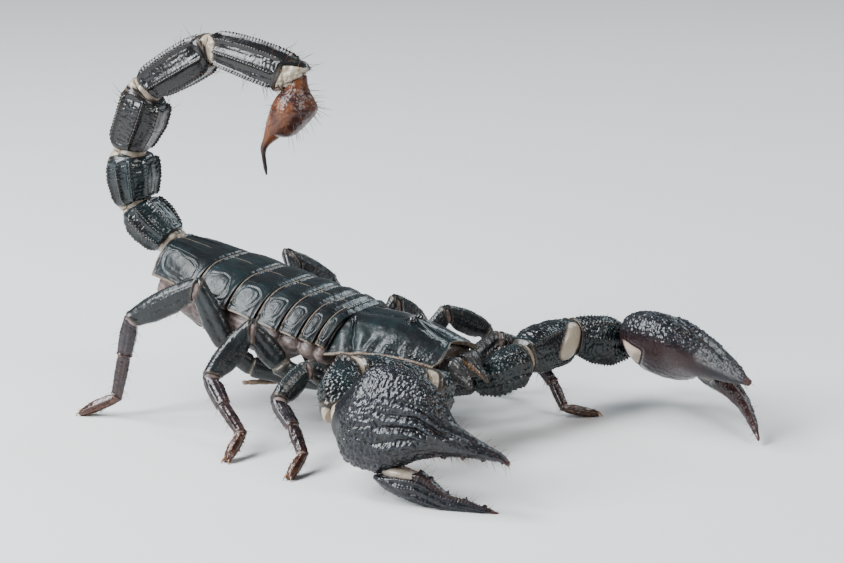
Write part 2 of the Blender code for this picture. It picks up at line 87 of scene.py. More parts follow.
def soft_box(name, azimuth, elevation, distance, width, height, watts, colour):
    lamp = bpy.data.lights.new(name, "AREA")
    lamp.shape = "RECTANGLE"
    lamp.size = width
    lamp.size_y = height
    lamp.energy = watts
    lamp.color = colour
    holder = bpy.data.objects.new(name, lamp)
    holder.location = AIM + towards(azimuth, elevation) * distance
    holder.rotation_euler = (AIM - holder.location).to_track_quat("-Z", "Y").to_euler()
    bpy.context.scene.collection.objects.link(holder)


soft_box("side_box", -34.0, 34.0, 0.60, 0.22, 0.38, 8.0, (0.94, 0.97, 1.0))
soft_box("high_box", -72.0, 56.0, 0.60, 0.26, 0.30, 5.0, (0.94, 0.97, 1.0))
soft_box("back_box", 172.0, 30.0, 0.62, 0.50, 0.12, 1.2, (0.80, 0.93, 1.0))
soft_box("front_box", 82.0, 40.0, 0.75, 0.30, 0.30, 3.2, (1.0, 0.98, 0.95))

VIEW_AZIMUTH, VIEW_ELEVATION, VIEW_DISTANCE = 32.09, 14.56, 0.5422
camera_data = bpy.data.cameras.new("camera")
camera_data.sensor_width = 36.0
camera_data.lens = 128.56
camera_data.clip_start = 0.01
camera = bpy.data.objects.new("camera", camera_data)
camera.location = AIM + towards(VIEW_AZIMUTH, VIEW_ELEVATION) * VIEW_DISTANCE
camera.rotation_euler = (AIM - camera.location).to_track_quat("-Z", "Y").to_euler()
bpy.context.scene.collection.objects.link(camera)
bpy.context.scene.camera = camera


# ---------------------------------------------------------------- trunk skin
# Between the back plates and the belly plates the body is closed by a soft, finely folded
# skin, grey to pink-brown, that lets the trunk swell.  It also closes every joint of the
# limbs, where it shows as a smooth ivory band.
class Value:
    """A socket in a finish's nodes; arithmetic on it adds Math nodes."""

    def __init__(self, finish, socket):
        self.finish = finish
        self.socket = socket

    def math(self, operation, first, second):
        return self.finish.node("Math", {"operation": operation}, {0: first, 1: second})

    def __add__(self, other):
        return self.math("ADD", self, other)

    __radd__ = __add__

    def __mul__(self, other):
        return self.math("MULTIPLY", self, other)

    __rmul__ = __mul__

    def __sub__(self, other):
        return self.math("SUBTRACT", self, other)

    def __rsub__(self, other):
        return self.math("SUBTRACT", other, self)


class Finish:
    """One material: its Principled shader and the nodes that feed it."""

    def __init__(self, name, **constants):
        self.material = bpy.data.materials.new(name)
        self.material.use_nodes = True
        self.shader = self.material.node_tree.nodes["Principled BSDF"]
        for socket, number in constants.items():
            self.shader.inputs[socket.replace("_", " ")].default_value = number

    def node(self, kind, settings, sockets, output=0):
        node = self.material.node_tree.nodes.new("ShaderNode" + kind)
        for setting, choice in settings.items():
            setattr(node, setting, choice)
        for socket, value in sockets.items():
            if isinstance(value, Value):
                self.material.node_tree.links.new(value.socket, node.inputs[socket])
            else:
                node.inputs[socket].default_value = value
        return Value(self, node.outputs[output])

    def noise(self, size, detail):
        """Cloudy 0 to 1 values whose patches are about the given size in metres."""
        place = self.node("TexCoord", {}, {}, "Object")
        return self.node("TexNoise", {}, {"Vector": place, "Scale": 1 / size, "Detail": detail})

    def cells(self, size):
        """Distance from the middle of the nearest cell, in cell widths."""
        place = self.node("TexCoord", {}, {}, "Object")
        return self.node("TexVoronoi", {}, {"Vector": place, "Scale": 1 / size}, "Distance")

    def painted(self, name):
        """A value that the mesh carries at its corners."""
        return self.node("Attribute", {"attribute_name": name}, {}, "Fac")

    def stretch(self, value, low, high, to_low=0.0, to_high=1.0):
        sockets = {0: value, 1: low, 2: high, 3: to_low, 4: to_high}
        return self.node("MapRange", {"interpolation_type": "SMOOTHSTEP"}, sockets)

    def mix(self, share, first, second):
        sockets = {0: share, 6: first, 7: second}
        return self.node("Mix", {"data_type": "RGBA"}, sockets, 2)

    def bump(self, height, depth, strength=1.0, under=None):
        sockets = {"Height": height, "Distance": depth, "Strength": strength}
        if under is not None:
            sockets["Normal"] = under
        return self.node("Bump", {}, sockets)

    def feed(self, socket, value):
        self.material.node_tree.links.new(value.socket, self.shader.inputs[socket])


def rgb(red, green, blue):
    return (red, green, blue, 1.0)


def skin_finish(name, dark, light, roughness):
    skin = Finish(name, IOR=1.42)
    # The relief value paints the skin lighter on the crests of its folds and lumps and darker in the
    # troughs between them: painted light and shade. The patches are random tone.
    folds = skin.painted("relief_shading")
    patches = skin.noise(2.4 * MM, 3)
    colour = skin.mix(skin.stretch(0.6 * folds + 0.9 * patches, 0.35, 1.1), rgb(*dark), rgb(*light))
    skin.feed("Base Color", colour)
    skin.feed("Roughness", skin.stretch(patches, 0.3, 0.8, roughness - 0.1, roughness + 0.1))
    fine = skin.noise(0.16 * MM, 2)
    skin.feed("Normal", skin.bump(fine, 0.03 * MM, 0.5))
    return skin.material


SIDE_SKIN = skin_finish("side_skin", (0.055, 0.038, 0.035), (0.200, 0.150, 0.132), 0.46)
KNEE_SKIN = skin_finish("knee_skin", (0.060, 0.038, 0.035), (0.280, 0.205, 0.180), 0.40)
ELBOW_SKIN = skin_finish("elbow_skin", (0.016, 0.008, 0.007), (0.070, 0.036, 0.030), 0.35)
JOINT_SKIN = skin_finish("joint_skin", (0.120, 0.092, 0.072), (0.400, 0.340, 0.268), 0.24)


def scatter(cells, salt):
    """Three repeatable numbers from 0 to 1 for each whole-numbered cell."""
    x, y, z = (cells[..., i].astype(np.int64) for i in range(3))
    mixed = (x * 73856093) ^ (y * 19349663) ^ (z * 83492791) ^ (salt * 2654435761)
    mixed = (mixed ^ (mixed >> 13)) * 1274126177
    mixed = mixed ^ (mixed >> 16)
    return np.stack([(mixed >> shift) & 0x3FF for shift in (0, 10, 20)], axis=-1) / 1023.0


def ripples(points, size, salt=0):
    """Smooth random values from -1 to 1 that change over the given size."""
    places = points / size
    cell = np.floor(places)
    part = places - cell
    part = part * part * (3 - 2 * part)
    total = 0.0
    for corner in np.ndindex(2, 2, 2):
        corner = np.array(corner)
        weight = np.prod(np.where(corner == 1, part, 1 - part), axis=-1)
        total = total + weight * scatter(cell + corner, salt)[..., 0]
    return total * 2 - 1


def pebbles(points, size, salt=0):
    """Rounded grains packed side by side: 1 on a grain's top, 0 in the seams."""
    places = points / size
    cell = np.floor(places)
    nearest = np.full(points.shape[:-1], 9.0)
    for corner in np.ndindex(3, 3, 3):
        near = cell + np.array(corner) - 1
        gap = places - (near + 0.1 + 0.8 * scatter(near, salt))
        nearest = np.minimum(nearest, (gap * gap).sum(axis=-1))
    return 1 - np.clip(nearest / 0.45, 0, 1)


def close_to(value, target, width):
    """1 where the value is at the target, falling off smoothly either side."""
    return np.exp(-((value - target) / width) ** 2)


def step(value, low, high):
    """0 below the low value, 1 above the high one, and smooth between; low may be above high."""
    share = np.clip((value - low) / (high - low), 0, 1)
    return share * share * (3 - 2 * share)


def waves(turns, depth=0.5):
    """One smooth wave for each whole turn, with its tops at 1 and twice the depth high."""
    return 1 - depth + depth * np.cos(2 * np.pi * turns)


def strongest(parts):
    """The largest of several reliefs at each point, and never below 0."""
    total = 0.0
    for part in parts:
        total = np.maximum(total, part)
    return total


def unit(vectors):
    return vectors / np.maximum(np.linalg.norm(vectors, axis=-1, keepdims=True), 1e-12)


def grid_normals(grid):
    """Normals of a grid of rows that each close on themselves, pointing out of it."""
    along = np.gradient(grid, axis=0)
    around = np.roll(grid, -1, axis=1) - np.roll(grid, 1, axis=1)
    normals = unit(np.cross(around, along))
    outward = grid - grid.mean(axis=1, keepdims=True)
    return normals * np.sign((normals * outward).sum())


def tube_faces(count, columns):
    """Four-sided faces between rings of points that each close on themselves."""
    first = np.arange(count - 1)[:, None] * columns
    here = np.arange(columns)[None, :]
    after = (here + 1) % columns
    return np.stack([first + here, first + after, first + columns + after,
                     first + columns + here], axis=-1).reshape(-1, 4).tolist()


def corner_spots(mesh, places):
    """The map place of each face corner, from the map place of each point."""
    corners = np.empty(len(mesh.loops), dtype=np.int32)
    mesh.loops.foreach_get("vertex_index", corners)
    return places[corners]


def add_map(mesh, spots):
    layer = mesh.uv_layers.new(name="OFBake")
    layer.data.foreach_set("uv", spots.astype(np.float32).ravel())


def stand(name, mesh):
    """Put a finished mesh in the scene, on the animal's one body."""
    mesh.shade_smooth()
    piece = bpy.data.objects.new(name, mesh)
    bpy.context.scene.collection.objects.link(piece)
    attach(piece, "root")
    return piece


def add_skin(name, rings, faces, finish, values):
    """A closed mesh of rings, its four-sided faces first, with painted values and a map."""
    count, columns = rings.shape[:2]
    mesh = bpy.data.meshes.new(name)
    mesh.from_pydata(rings.reshape(-1, 3).tolist(), [], faces)
    mesh.materials.append(finish)
    for title, numbers in values.items():
        layer = mesh.attributes.new(title, "FLOAT", "POINT")
        layer.data.foreach_set("value", numbers.astype(np.float32).ravel())
    around = np.arange(columns) / columns
    along = np.linspace(0, 1, count)[:, None]
    places = np.stack(np.broadcast_arrays(around, along), axis=-1).reshape(-1, 2)
    spots = corner_spots(mesh, places)
    quads = 4 * sum(len(face) == 4 for face in faces)
    turn = spots[:quads, 0].reshape(-1, 4)
    split = turn.max(axis=1) - turn.min(axis=1) > 0.5
    spots[:quads, 0] = np.where(split[:, None] & (turn < 0.5), turn + 1, turn).ravel()
    spots[:, 0] *= 0.98
    add_map(mesh, spots)
    shape = bmesh.new()
    shape.from_mesh(mesh)
    bmesh.ops.remove_doubles(shape, verts=shape.verts, dist=1e-7)
    bmesh.ops.recalc_face_normals(shape, faces=shape.faces)
    shape.to_mesh(mesh)
    shape.free()
    return stand(name, mesh)


def add_tube(name, grid, finish, values=None, rounding=0.25 * MM):
    """A closed skin over a grid of rings, with its two ends turned in and closed."""
    columns = grid.shape[1]
    start, end = [], []
    for index, beyond, store in ((0, 1, start), (-1, -2, end)):
        ring = grid[index]
        middle = ring.mean(axis=0)
        reach = np.linalg.norm(ring - middle, axis=1).mean()
        outward = unit(middle - grid[beyond].mean(axis=0))
        turn = min(rounding, 0.6 * reach)
        for part in (0.35, 0.7, 1.0):
            angle = part * math.pi / 2
            shrink = 1 - turn * (1 - math.cos(angle)) / reach
            store.append(middle + (ring - middle) * shrink + outward * turn * 0.5 * math.sin(angle))
        store.append(middle + (ring - middle) * 0.02 + outward * turn * 0.5)
    full = np.concatenate([np.array(start[::-1]), grid, np.array(end)])
    painted = {}
    for key, value in (values or {}).items():
        value = np.broadcast_to(value, grid.shape[:2])
        painted[key] = np.concatenate([value[:1]] * 4 + [value] + [value[-1:]] * 4)
    faces = tube_faces(len(full), columns)
    faces.append(list(range(columns)))
    faces.append(list(range((len(full) - 1) * columns, len(full) * columns)))
    return add_skin(name, full, faces, finish, painted)


def centre_of(node):
    low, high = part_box(node)
    return (Vector(low) + Vector(high)) / 2


def solid_corners(node):
    return np.array([v.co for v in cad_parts[node].data.vertices])


def node_solid(node):
    """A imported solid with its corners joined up."""
    shape = bmesh.new()
    shape.from_mesh(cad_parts[node].data)
    bmesh.ops.remove_doubles(shape, verts=shape.verts, dist=1e-6)
    shape.normal_update()
    shape.verts.index_update()
    shape.verts.ensure_lookup_table()
    shape.faces.ensure_lookup_table()
    return shape


def sections(node, direction, up, places, count):
    """Cut a solid square to a direction and read its outline as rings of equal count."""
    shape = node_solid(node)
    tree = BVHTree.FromBMesh(shape)
    corners = np.array([v.co for v in shape.verts])
    shape.free()
    direction = unit(np.array(direction))
    up = unit(np.array(up) - direction * np.dot(up, direction))
    side = np.cross(direction, up)
    reach = corners @ direction
    low, high = reach.min(), reach.max()
    angles = np.arange(count) * 2 * math.pi / count
    rays = np.cos(angles)[:, None] * up + np.sin(angles)[:, None] * side
    rings = []
    for place in places:
        level = low + (high - low) * place
        window = (high - low) * 0.03
        near = np.abs(reach - level) < window
        while near.sum() < 6:
            window *= 1.5
            near = np.abs(reach - level) < window
        middle = corners[near].mean(axis=0)
        middle = middle + direction * (level - middle @ direction)
        for _ in range(4):
            hits = [tree.ray_cast(Vector(middle), Vector(ray))[0] for ray in rays]
            ring = np.array([middle if hit is None else np.array(hit) for hit in hits])
            middle = (ring.max(axis=0) + ring.min(axis=0)) / 2
            middle = middle + direction * (level - middle @ direction)
        rings.append(ring)
    return np.array(rings)


def even_out(rings):
    """Blur rings a little round their own outline."""
    return (np.roll(rings, 1, axis=1) + 2 * rings + np.roll(rings, -1, axis=1)) / 4


def soften(grid, share):
    """Blur a grid along its length, holding both ends."""
    reach = max(int(share * len(grid) * 3), 1)
    weights = np.exp(-0.5 * (np.arange(-reach, reach + 1) / (share * len(grid))) ** 2)
    weights /= weights.sum()
    before = 2 * grid[:1] - grid[reach:0:-1]
    behind = 2 * grid[-1:] - grid[-2:-reach - 2:-1]
    padded = np.concatenate([before, grid, behind])
    return sum(w * padded[i:i + len(grid)] for i, w in enumerate(weights))


def fill_around(rings, columns):
    """More points round each ring, on the smooth closed curve through the ones it has."""
    count = rings.shape[1]
    half = count // 2
    tones = np.fft.fft(rings, axis=1)
    full = np.zeros((len(rings), columns, 3), dtype=complex)
    full[:, :half] = tones[:, :half]
    full[:, -half + 1:] = tones[:, half + 1:]
    full[:, half] = tones[:, half] / 2
    full[:, -half] += tones[:, half] / 2
    return np.fft.ifft(full, axis=1).real * columns / count


def fill_along(rings, rows, blur):
    """More rings, evenly spaced along the run of the ones given."""
    middles = rings.mean(axis=1)
    run = np.concatenate([[0], np.cumsum(np.linalg.norm(np.diff(middles, axis=0), axis=1))])
    places = np.linspace(0, run[-1], rows)
    after = np.clip(np.searchsorted(run, places), 1, len(run) - 1)
    share = (places - run[after - 1]) / (run[after] - run[after - 1])
    grid = rings[after - 1] * (1 - share)[:, None, None] + rings[after] * share[:, None, None]
    return soften(grid, blur)


MIDDLE = centre_of("trunk").y
TO_LEFT = np.array((0.0, 1.0, 0.0))


def crest_end(node, far):
    """The highest corner on the midline at a back plate's front or rear edge."""
    corners = solid_corners(node)
    middle = corners[np.abs(corners[:, 1] - MIDDLE) < 0.1 * MM]
    edge = middle[:, 0].min() if far else middle[:, 0].max()
    band = middle[np.abs(middle[:, 0] - edge) < 0.4 * MM]
    return band[band[:, 2].argmax()]


# The body's own axes: forward along the sloping back, and square up from it.
rear_crest = crest_end("tergite_7", True)
front_crest = crest_end("tergite_1", False)
BACK_FORWARD = unit(front_crest - rear_crest)
BACK_UP = np.cross(BACK_FORWARD, TO_LEFT)
BACK_ORIGIN = np.array([front_crest[0], MIDDLE, front_crest[2]])


def on_back(forward, left, above):
    """Points given along the back, from the middle of the first plate's front edge."""
    forward, left, above = np.broadcast_arrays(forward, left, above)
    return (BACK_ORIGIN + forward[..., None] * BACK_FORWARD
            + left[..., None] * TO_LEFT + above[..., None] * BACK_UP)


def back_coordinates(points):
    """How far forward, left and above the back's origin points lie."""
    offset = points - BACK_ORIGIN
    return offset @ BACK_FORWARD, offset[..., 1], offset @ BACK_UP


plate_borders = [0.0]
for number in range(1, 8):
    plate_borders.append(float(back_coordinates(crest_end(f"tergite_{number}", True))[0]))

TRUNK_ROWS, TRUNK_COLUMNS = 145, 236
FOLD_SPACING = 0.85 * MM
ROUNDED_END = 2.6 * MM
rings = even_out(sections("trunk", -BACK_FORWARD, BACK_UP, np.linspace(0.004, 0.996, 44), 120))
trunk_grid = fill_along(fill_around(rings, TRUNK_COLUMNS), TRUNK_ROWS, 0.012)
forward, left, above = back_coordinates(trunk_grid)
centre_height = above.mean(axis=1, keepdims=True)
trunk_angle = np.arctan2(left, above - centre_height)
in_plate = np.interp(-forward, [-b for b in plate_borders], range(8))
swell = np.sin(np.pi * (in_plate % 1.0)) ** 0.6
flank = close_to(np.abs(trunk_angle), 1.75, 0.42)
wander = ripples(trunk_grid, 1.3 * MM, 3)
folds = np.sin(2 * np.pi * (above / FOLD_SPACING + 0.9 * swell + 0.35 * wander
                            + 0.20 * ripples(trunk_grid, 0.7 * MM, 4)))
folds = folds * (0.65 + 0.45 * ripples(trunk_grid, 1.2 * MM, 6))
# The folds also set the skin's colour: painted shade, darkest in the fold troughs and, through the
# swell, where the skin tucks in at the plate borders.
relief_shading = 0.5 + 0.4 * folds
lift = flank * (0.65 * MM * swell - 0.35 * MM) + (0.05 + 0.08 * flank) * MM * folds
lift = lift + 0.05 * MM * ripples(trunk_grid, 0.5 * MM, 5)
trunk_grid = trunk_grid + grid_normals(trunk_grid) * lift[..., None]
# Behind the last plate the trunk closes in a rounded end round the root of the tail.
behind = step(forward, forward.min() + ROUNDED_END, forward.min())
closing = np.sqrt(np.clip(1 - behind ** 2, 0.02, 1))
trunk_middles = trunk_grid.mean(axis=1, keepdims=True)
trunk_grid = trunk_middles + (trunk_grid - trunk_middles) * closing[..., None]
trunk_skin = add_tube("trunk_skin", trunk_grid, SIDE_SKIN, {"relief_shading": relief_shading * swell})
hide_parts("trunk")


# ---------------------------------------------------------------- back plates
# Seven arched plates of hard, glossy, blue-black cuticle lie over the trunk like roof
# tiles.  Each has a raised rim with a tan edge, a pale line down the middle and oval dents
# in a framed field at each side.
def shell_finish(name, dark, tint, roughness, grain):
    """Hard cuticle: nearly black, clouded with a second tint, tan where it is thin."""
    shell = Finish(name, IOR=1.47)
    clouds = shell.noise(5 * MM, 3)
    colour = shell.mix(shell.stretch(clouds, 0.35, 0.7), rgb(*dark), rgb(*tint))
    speck = shell.noise(0.5 * MM, 4)
    thin = shell.painted("tan") * shell.stretch(speck, 0.25, 0.6, 0.45, 1.0)
    colour = shell.mix(thin, colour, rgb(0.150, 0.106, 0.073))
    colour = shell.mix(shell.painted("pale"), colour, rgb(0.330, 0.275, 0.205))
    shell.feed("Base Color", colour)
    worn = shell.stretch(shell.noise(1.3 * MM, 4), 0.3, 0.75, -0.05, 0.08)
    shell.feed("Roughness", worn + roughness + 0.15 * thin + 0.16 * shell.painted("satin"))
    dimples = shell.cells(0.22 * MM)
    fine = shell.bump(shell.noise(0.09 * MM, 3), 0.012 * MM, grain)
    shell.feed("Normal", shell.bump(dimples, 0.018 * MM, grain, fine))
    return shell.material


SHELL = shell_finish("shell", (0.0035, 0.0045, 0.0055), (0.006, 0.014, 0.016), 0.22, 0.40)


def plate_faces(forward, left, above, lift, inner_forward, inner_left, thickness):
    """A plate's outer and inner grid; the lift in millimetres goes square to its arch."""
    tilt = np.arctan(np.gradient(above, axis=1) / np.maximum(np.gradient(left, axis=1), 1e-9))
    outer = on_back(forward, left - np.sin(tilt) * lift * MM, above + np.cos(tilt) * lift * MM)
    inner = on_back(inner_forward, inner_left + np.sin(tilt) * thickness,
                    above - np.cos(tilt) * thickness)
    return outer, inner


def add_plate(name, top, under, finish, values):
    """A closed plate from two equal grids, coarser below, rounded where they meet."""
    width = top.shape[1]
    keep = np.r_[0:width, width:2 * width - 1:10, 2 * width - 1]
    rings = np.concatenate([top, under[:, ::-1]], axis=1)
    partner = rings[:, ::-1][:, keep]
    rings = rings[:, keep]
    start = [rings[0] * (1 - s) + partner[0] * s for s in (0.5, 0.38, 0.22, 0.08)]
    end = [rings[-1] * (1 - s) + partner[-1] * s for s in (0.08, 0.22, 0.38, 0.5)]
    full = np.concatenate([np.array(start), rings, np.array(end)])
    painted = {}
    for key, value in values.items():
        value = np.broadcast_to(value, top.shape[:2])
        both = np.concatenate([value, value[:, ::-1]], axis=1)[:, keep]
        painted[key] = np.concatenate([both[:1]] * 4 + [both] + [both[-1:]] * 4)
    return add_skin(name, full, tube_faces(*full.shape[:2]), finish, painted)


def even_across(columns):
    """Places from -1 to 1 across a plate, closer together at its steep sides."""
    place = np.linspace(-1, 1, columns)[None, :]
    return 0.6 * np.sin(place * math.pi / 2) + 0.4 * place


def plate_ends(node):
    """Half width, middle height and edge height at a back plate's front and rear."""
    forward, left, above = back_coordinates(solid_corners(node))
    found = []
    for edge in (forward.max(), forward.min()):
        band = np.abs(forward - edge) < 0.25 * MM
        half = np.abs(left[band]).max()
        outer = band & (np.abs(left) > half - 0.05 * MM)
        found.append((edge, half, above[band].max(), above[outer].max()))
    return found


PLATE_POWER = 4.0
PLATE_COLUMNS = 270
PLATE_THICKNESS = 0.55 * MM
FIELD_MIDDLE, FIELD_HALF = (0.790, 0.53), (0.165, 0.38)
FIELD_POWER = 2.6
for number in range(1, 8):
    node = f"tergite_{number}"
    front_end, rear_end = plate_ends(node)
    front, half_front, crest_front, edge_front = front_end
    rear, half_rear, crest_rear, edge_rear = rear_end
    length = front - rear
    share = np.linspace(0, 1, int(length / (0.11 * MM)) + 10)[:, None]
    across = even_across(PLATE_COLUMNS)
    beside = np.abs(across)
    half = half_front + (half_rear - half_front) * share
    crest = crest_front + (crest_rear - crest_front) * share + 0.25 * MM * np.sin(np.pi * share)
    drop = (crest_front - edge_front) * (1 - share) + (crest_rear - edge_rear) * share
    corner = 0.9 * MM * step(share, 1 - 1.6 * MM / length, 1) ** 2 * (number < 7)
    left = (half - corner) * across
    forward = front - length * share
    above = crest - drop * beside ** PLATE_POWER
    flat = on_back(forward, left, above)
    from_rear = (1 - share) * length
    from_side = (1 - beside) * half * (1 + 0.9 * beside ** 6)
    wave = ripples(flat, 1.3 * MM, number)
    rim = np.maximum(step(from_rear, 0.50 * MM, 0.28 * MM), step(from_side, 0.62 * MM, 0.34 * MM))
    rim = rim * step(share, 0.02, 0.12)
    trench = np.maximum(close_to(from_rear, 0.72 * MM, 0.17 * MM),
                        close_to(from_side, 0.98 * MM, 0.22 * MM) * step(share, 0.1, 0.25))
    second = np.maximum(close_to(from_side, 1.45 * MM, 0.20 * MM),
                        0.6 * close_to(from_rear, 1.12 * MM, 0.18 * MM)) * step(share, 0.2, 0.35)
    lip = step(share * length, 0.9 * MM, 0.3 * MM)
    # An oval field near each side: a raised frame round rings of ever smaller wrinkles.
    field_across = np.abs(beside - FIELD_MIDDLE[0]) / FIELD_HALF[0]
    field_along = np.abs(share - FIELD_MIDDLE[1]) / FIELD_HALF[1]
    field = (field_across ** FIELD_POWER + field_along ** FIELD_POWER) ** (1 / FIELD_POWER)
    field = field * (1 + 0.13 * wave + 0.17 * ripples(flat, 2.4 * MM, 30 + number))
    inside = step(field, 0.95, 0.7)
    rings = np.cos(2 * np.pi * field * 2.5) * step(field, 0.15, 0.45) * (0.3 + 0.9 * wave)
    dents = 0.10 * close_to(field, 0.88, 0.09) - 0.09 * close_to(field, 1.04, 0.09)
    dents = dents - inside * (0.028 * rings + 0.060 * ripples(flat, 1.1 * MM, 50 + number))
    # The line that frames the field on its inner side, with a low swell beside it.
    ruled = beside + 0.012 * wave
    frame_line = 0.03 * close_to(ruled, 0.555, 0.013) - 0.02 * close_to(ruled, 0.525, 0.018)
    frame_line = frame_line * step(share, 0.2, 0.35)
    middle_dents = close_to(beside, 0.22, 0.05) * close_to(share, 0.45, 0.16)
    keel = close_to(left, 0.0, 0.11 * MM) * step(share, 0.38, 0.55)
    grains = pebbles(flat, 0.34 * MM, number) * step(share, 0.5, 0.95)
    creases = np.sin(2 * np.pi * forward / (0.34 * MM) + 4 * wave) * step(beside, 0.45, 0.6)
    lift = (0.13 * rim - 0.10 * trench + 0.05 * second - 0.12 * lip - dents
            - frame_line - 0.05 * middle_dents + 0.05 * keel
            + 0.018 * grains + 0.012 * creases + 0.026 * ripples(flat, 0.9 * MM, 20 + number)
            + 0.014 * ripples(flat, 0.4 * MM, 40 + number))
    if number == 7:
        ribs = close_to(beside, 0.30, 0.03) + close_to(beside, 0.62, 0.03)
        lift = lift + 0.14 * ribs * step(share, 0.35, 0.6) * step(share, 0.99, 0.9)
    outer, inner = plate_faces(forward, left, above, lift, forward, left * (1 - 0.35 * MM / half),
                               PLATE_THICKNESS)
    thin_edge = np.maximum(step(from_rear, 0.30 * MM, 0.16 * MM),
                           step(from_side, 0.34 * MM, 0.16 * MM))
    tan = np.clip(np.maximum(thin_edge, 0.30 * keel * step(share, 0.5, 0.7)), 0, 1)
    pale = 0.55 * close_to(left, 0.05 * MM * wave, 0.09 * MM) * step(share, 0.30, 0.45)
    plate = add_plate(f"back_plate_{number}", outer, inner, SHELL,
                      {"tan": tan, "satin": step(beside, 0.42, 0.62), "pale": pale * (number > 1)})
    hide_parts(node)


# ---------------------------------------------------------------- head shield and eyes
# One plate covers the head.  It swells into two lobes at the front with a notch between
# them, carries the two middle eyes on a low mound, three bead eyes at each front corner,
# and is grooved along the middle and across its rear corners.
shield_forward, shield_left, _ = back_coordinates(solid_corners("carapace"))
SHIELD_LENGTH = shield_forward.max()
SHIELD_REAR = np.abs(shield_left[shield_forward < 1.5 * MM]).max()
SHIELD_FRONT = 7.6 * MM
LOBE_HALF, NOTCH_DEPTH = 6.2 * MM, 2.0 * MM
SHIELD_THICKNESS = 0.6 * MM
SIDES = (("right", -1), ("left", 1))
EYE_FORWARD = float(np.mean([back_coordinates(np.array(centre_of(f"median_eye_{side}")))[0]
                             for side, _ in SIDES]))


def shield_half(share):
    """Half the shield's width at a share of its length."""
    return SHIELD_REAR + (SHIELD_FRONT - SHIELD_REAR) * share ** 1.3


def shield_front(left):
    """How far forward the shield reaches: two lobes with a notch between them."""
    share = np.minimum(np.abs(left) / LOBE_HALF, 1.25)
    notch = NOTCH_DEPTH * (1 - np.minimum(share, 1.0)) ** 1.5
    return SHIELD_LENGTH - notch - 3.0 * MM * np.maximum(share - 1.0, 0.0)


def shield_height(forward, left):
    """The shield's arch, with the low mound that carries the middle eyes."""
    share = np.clip(forward / SHIELD_LENGTH, 0, 1)
    crown = 1.4 * np.sin(np.pi * share * 0.95) - 0.3 * share
    drop = 6.4 - 4.0 * share
    mound = 0.9 * np.exp(-((forward - EYE_FORWARD) / (2.4 * MM)) ** 2
                         - (left / (2.2 * MM)) ** 2)
    return (crown - drop * (np.abs(left) / shield_half(share)) ** 2.6 + mound) * MM


share = np.linspace(0, 1, 190)[:, None]
across = even_across(260)
beside = np.abs(across)
reach = shield_front(across * SHIELD_FRONT)
forward = reach * share
left = across * shield_half(forward / SHIELD_LENGTH)
above = shield_height(forward, left)
flat = on_back(forward, left, above)
wave = ripples(flat, 1.6 * MM, 61)
sideways = np.abs(left)
from_front = (1 - share) * reach
from_side = (1 - beside) * shield_half(share)
rim = np.maximum(step(from_front, 0.5 * MM, 0.25 * MM), step(from_side, 0.55 * MM, 0.25 * MM))
trench = np.maximum(close_to(from_front, 0.75 * MM, 0.2 * MM),
                    close_to(from_side, 0.85 * MM, 0.2 * MM))
beside_eyes = 1 - close_to(forward, EYE_FORWARD, 2.6 * MM)
groove = close_to(left, 0, 0.35 * MM) * beside_eyes
hollow = close_to(left, 0, 1.5 * MM) * beside_eyes * step(forward, 0.0, 2.0 * MM)
rear_hollow = close_to(sideways, 1.2 * MM, 1.2 * MM) * close_to(forward, 1.6 * MM, 1.6 * MM)
slant = forward - (1.0 * MM + 0.62 * (sideways - 4.0 * MM))
slant_groove = close_to(slant + 0.3 * MM * wave, 0, 0.45 * MM) * step(sideways, 3.0 * MM, 5.0 * MM)
slant_groove = slant_groove * step(sideways, 10.9 * MM, 9.6 * MM)
slant_swell = close_to(slant, 1.9 * MM, 1.2 * MM) * step(sideways, 5.5 * MM, 8.0 * MM)
rear_swell = close_to(slant, -2.0 * MM, 1.2 * MM) * step(sideways, 6.0 * MM, 8.5 * MM)
# Uneven hollows and swells run down each cheek, from behind the eyes to near the front.
cheek_place = forward - 8.2 * MM + 0.6 * MM * ripples(flat, 2.6 * MM, 66)
cheek = np.cos(2 * np.pi * cheek_place / (3.1 * MM)) * (0.75 + 0.5 * wave)
cheek = cheek * step(beside, 0.62, 0.85) * step(forward, 5.5 * MM, 7.5 * MM)
cheek = cheek * step(forward, 16.5 * MM, 14.5 * MM) * step(beside, 0.99, 0.93)
front_edge = close_to(from_front + 0.4 * MM * wave, 1.9 * MM, 0.35 * MM)
front_edge = front_edge * step(beside, 0.15, 0.4)
eye_ridge = close_to(sideways, 2.3 * MM, 0.35 * MM) * close_to(forward, EYE_FORWARD, 2.4 * MM)
moat = close_to(np.hypot(forward - EYE_FORWARD, sideways - 1.35 * MM), 0.95 * MM, 0.16 * MM)
coarse = step(beside, 0.45, 0.85) * step(share, 0.3, 0.6)
grains = pebbles(flat, 0.42 * MM, 62)
fine_grains = pebbles(flat, 0.26 * MM, 63)
lift = (0.12 * rim - 0.10 * trench - 0.22 * groove - 0.22 * hollow - 0.25 * rear_hollow
        - 0.60 * slant_groove + 0.46 * slant_swell + 0.42 * rear_swell + 0.36 * cheek
        + 0.12 * front_edge + 0.10 * eye_ridge - 0.10 * moat
        + 0.085 * grains * coarse + 0.022 * fine_grains * step(share, 0.55, 0.9)
        + 0.05 * ripples(flat, 1.4 * MM, 64) + 0.022 * ripples(flat, 0.45 * MM, 65))
outer, inner = plate_faces(forward, left, above, lift, forward - 0.3 * MM * share, left * 0.965,
                           SHIELD_THICKNESS)
middle_line = close_to(left, 0, 0.13 * MM)
middle_line = middle_line * step(forward, EYE_FORWARD + 1.8 * MM, SHIELD_LENGTH * 0.8)
thin_edge = np.maximum(0.6 * step(from_front, 0.28 * MM, 0.14 * MM),
                       step(from_side, 0.32 * MM, 0.15 * MM))
shield = add_plate("head_shield", outer, inner, SHELL,
                   {"tan": np.clip(thin_edge + 0.3 * middle_line, 0, 1),
                    "satin": step(beside, 0.35, 0.6)})
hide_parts("carapace")

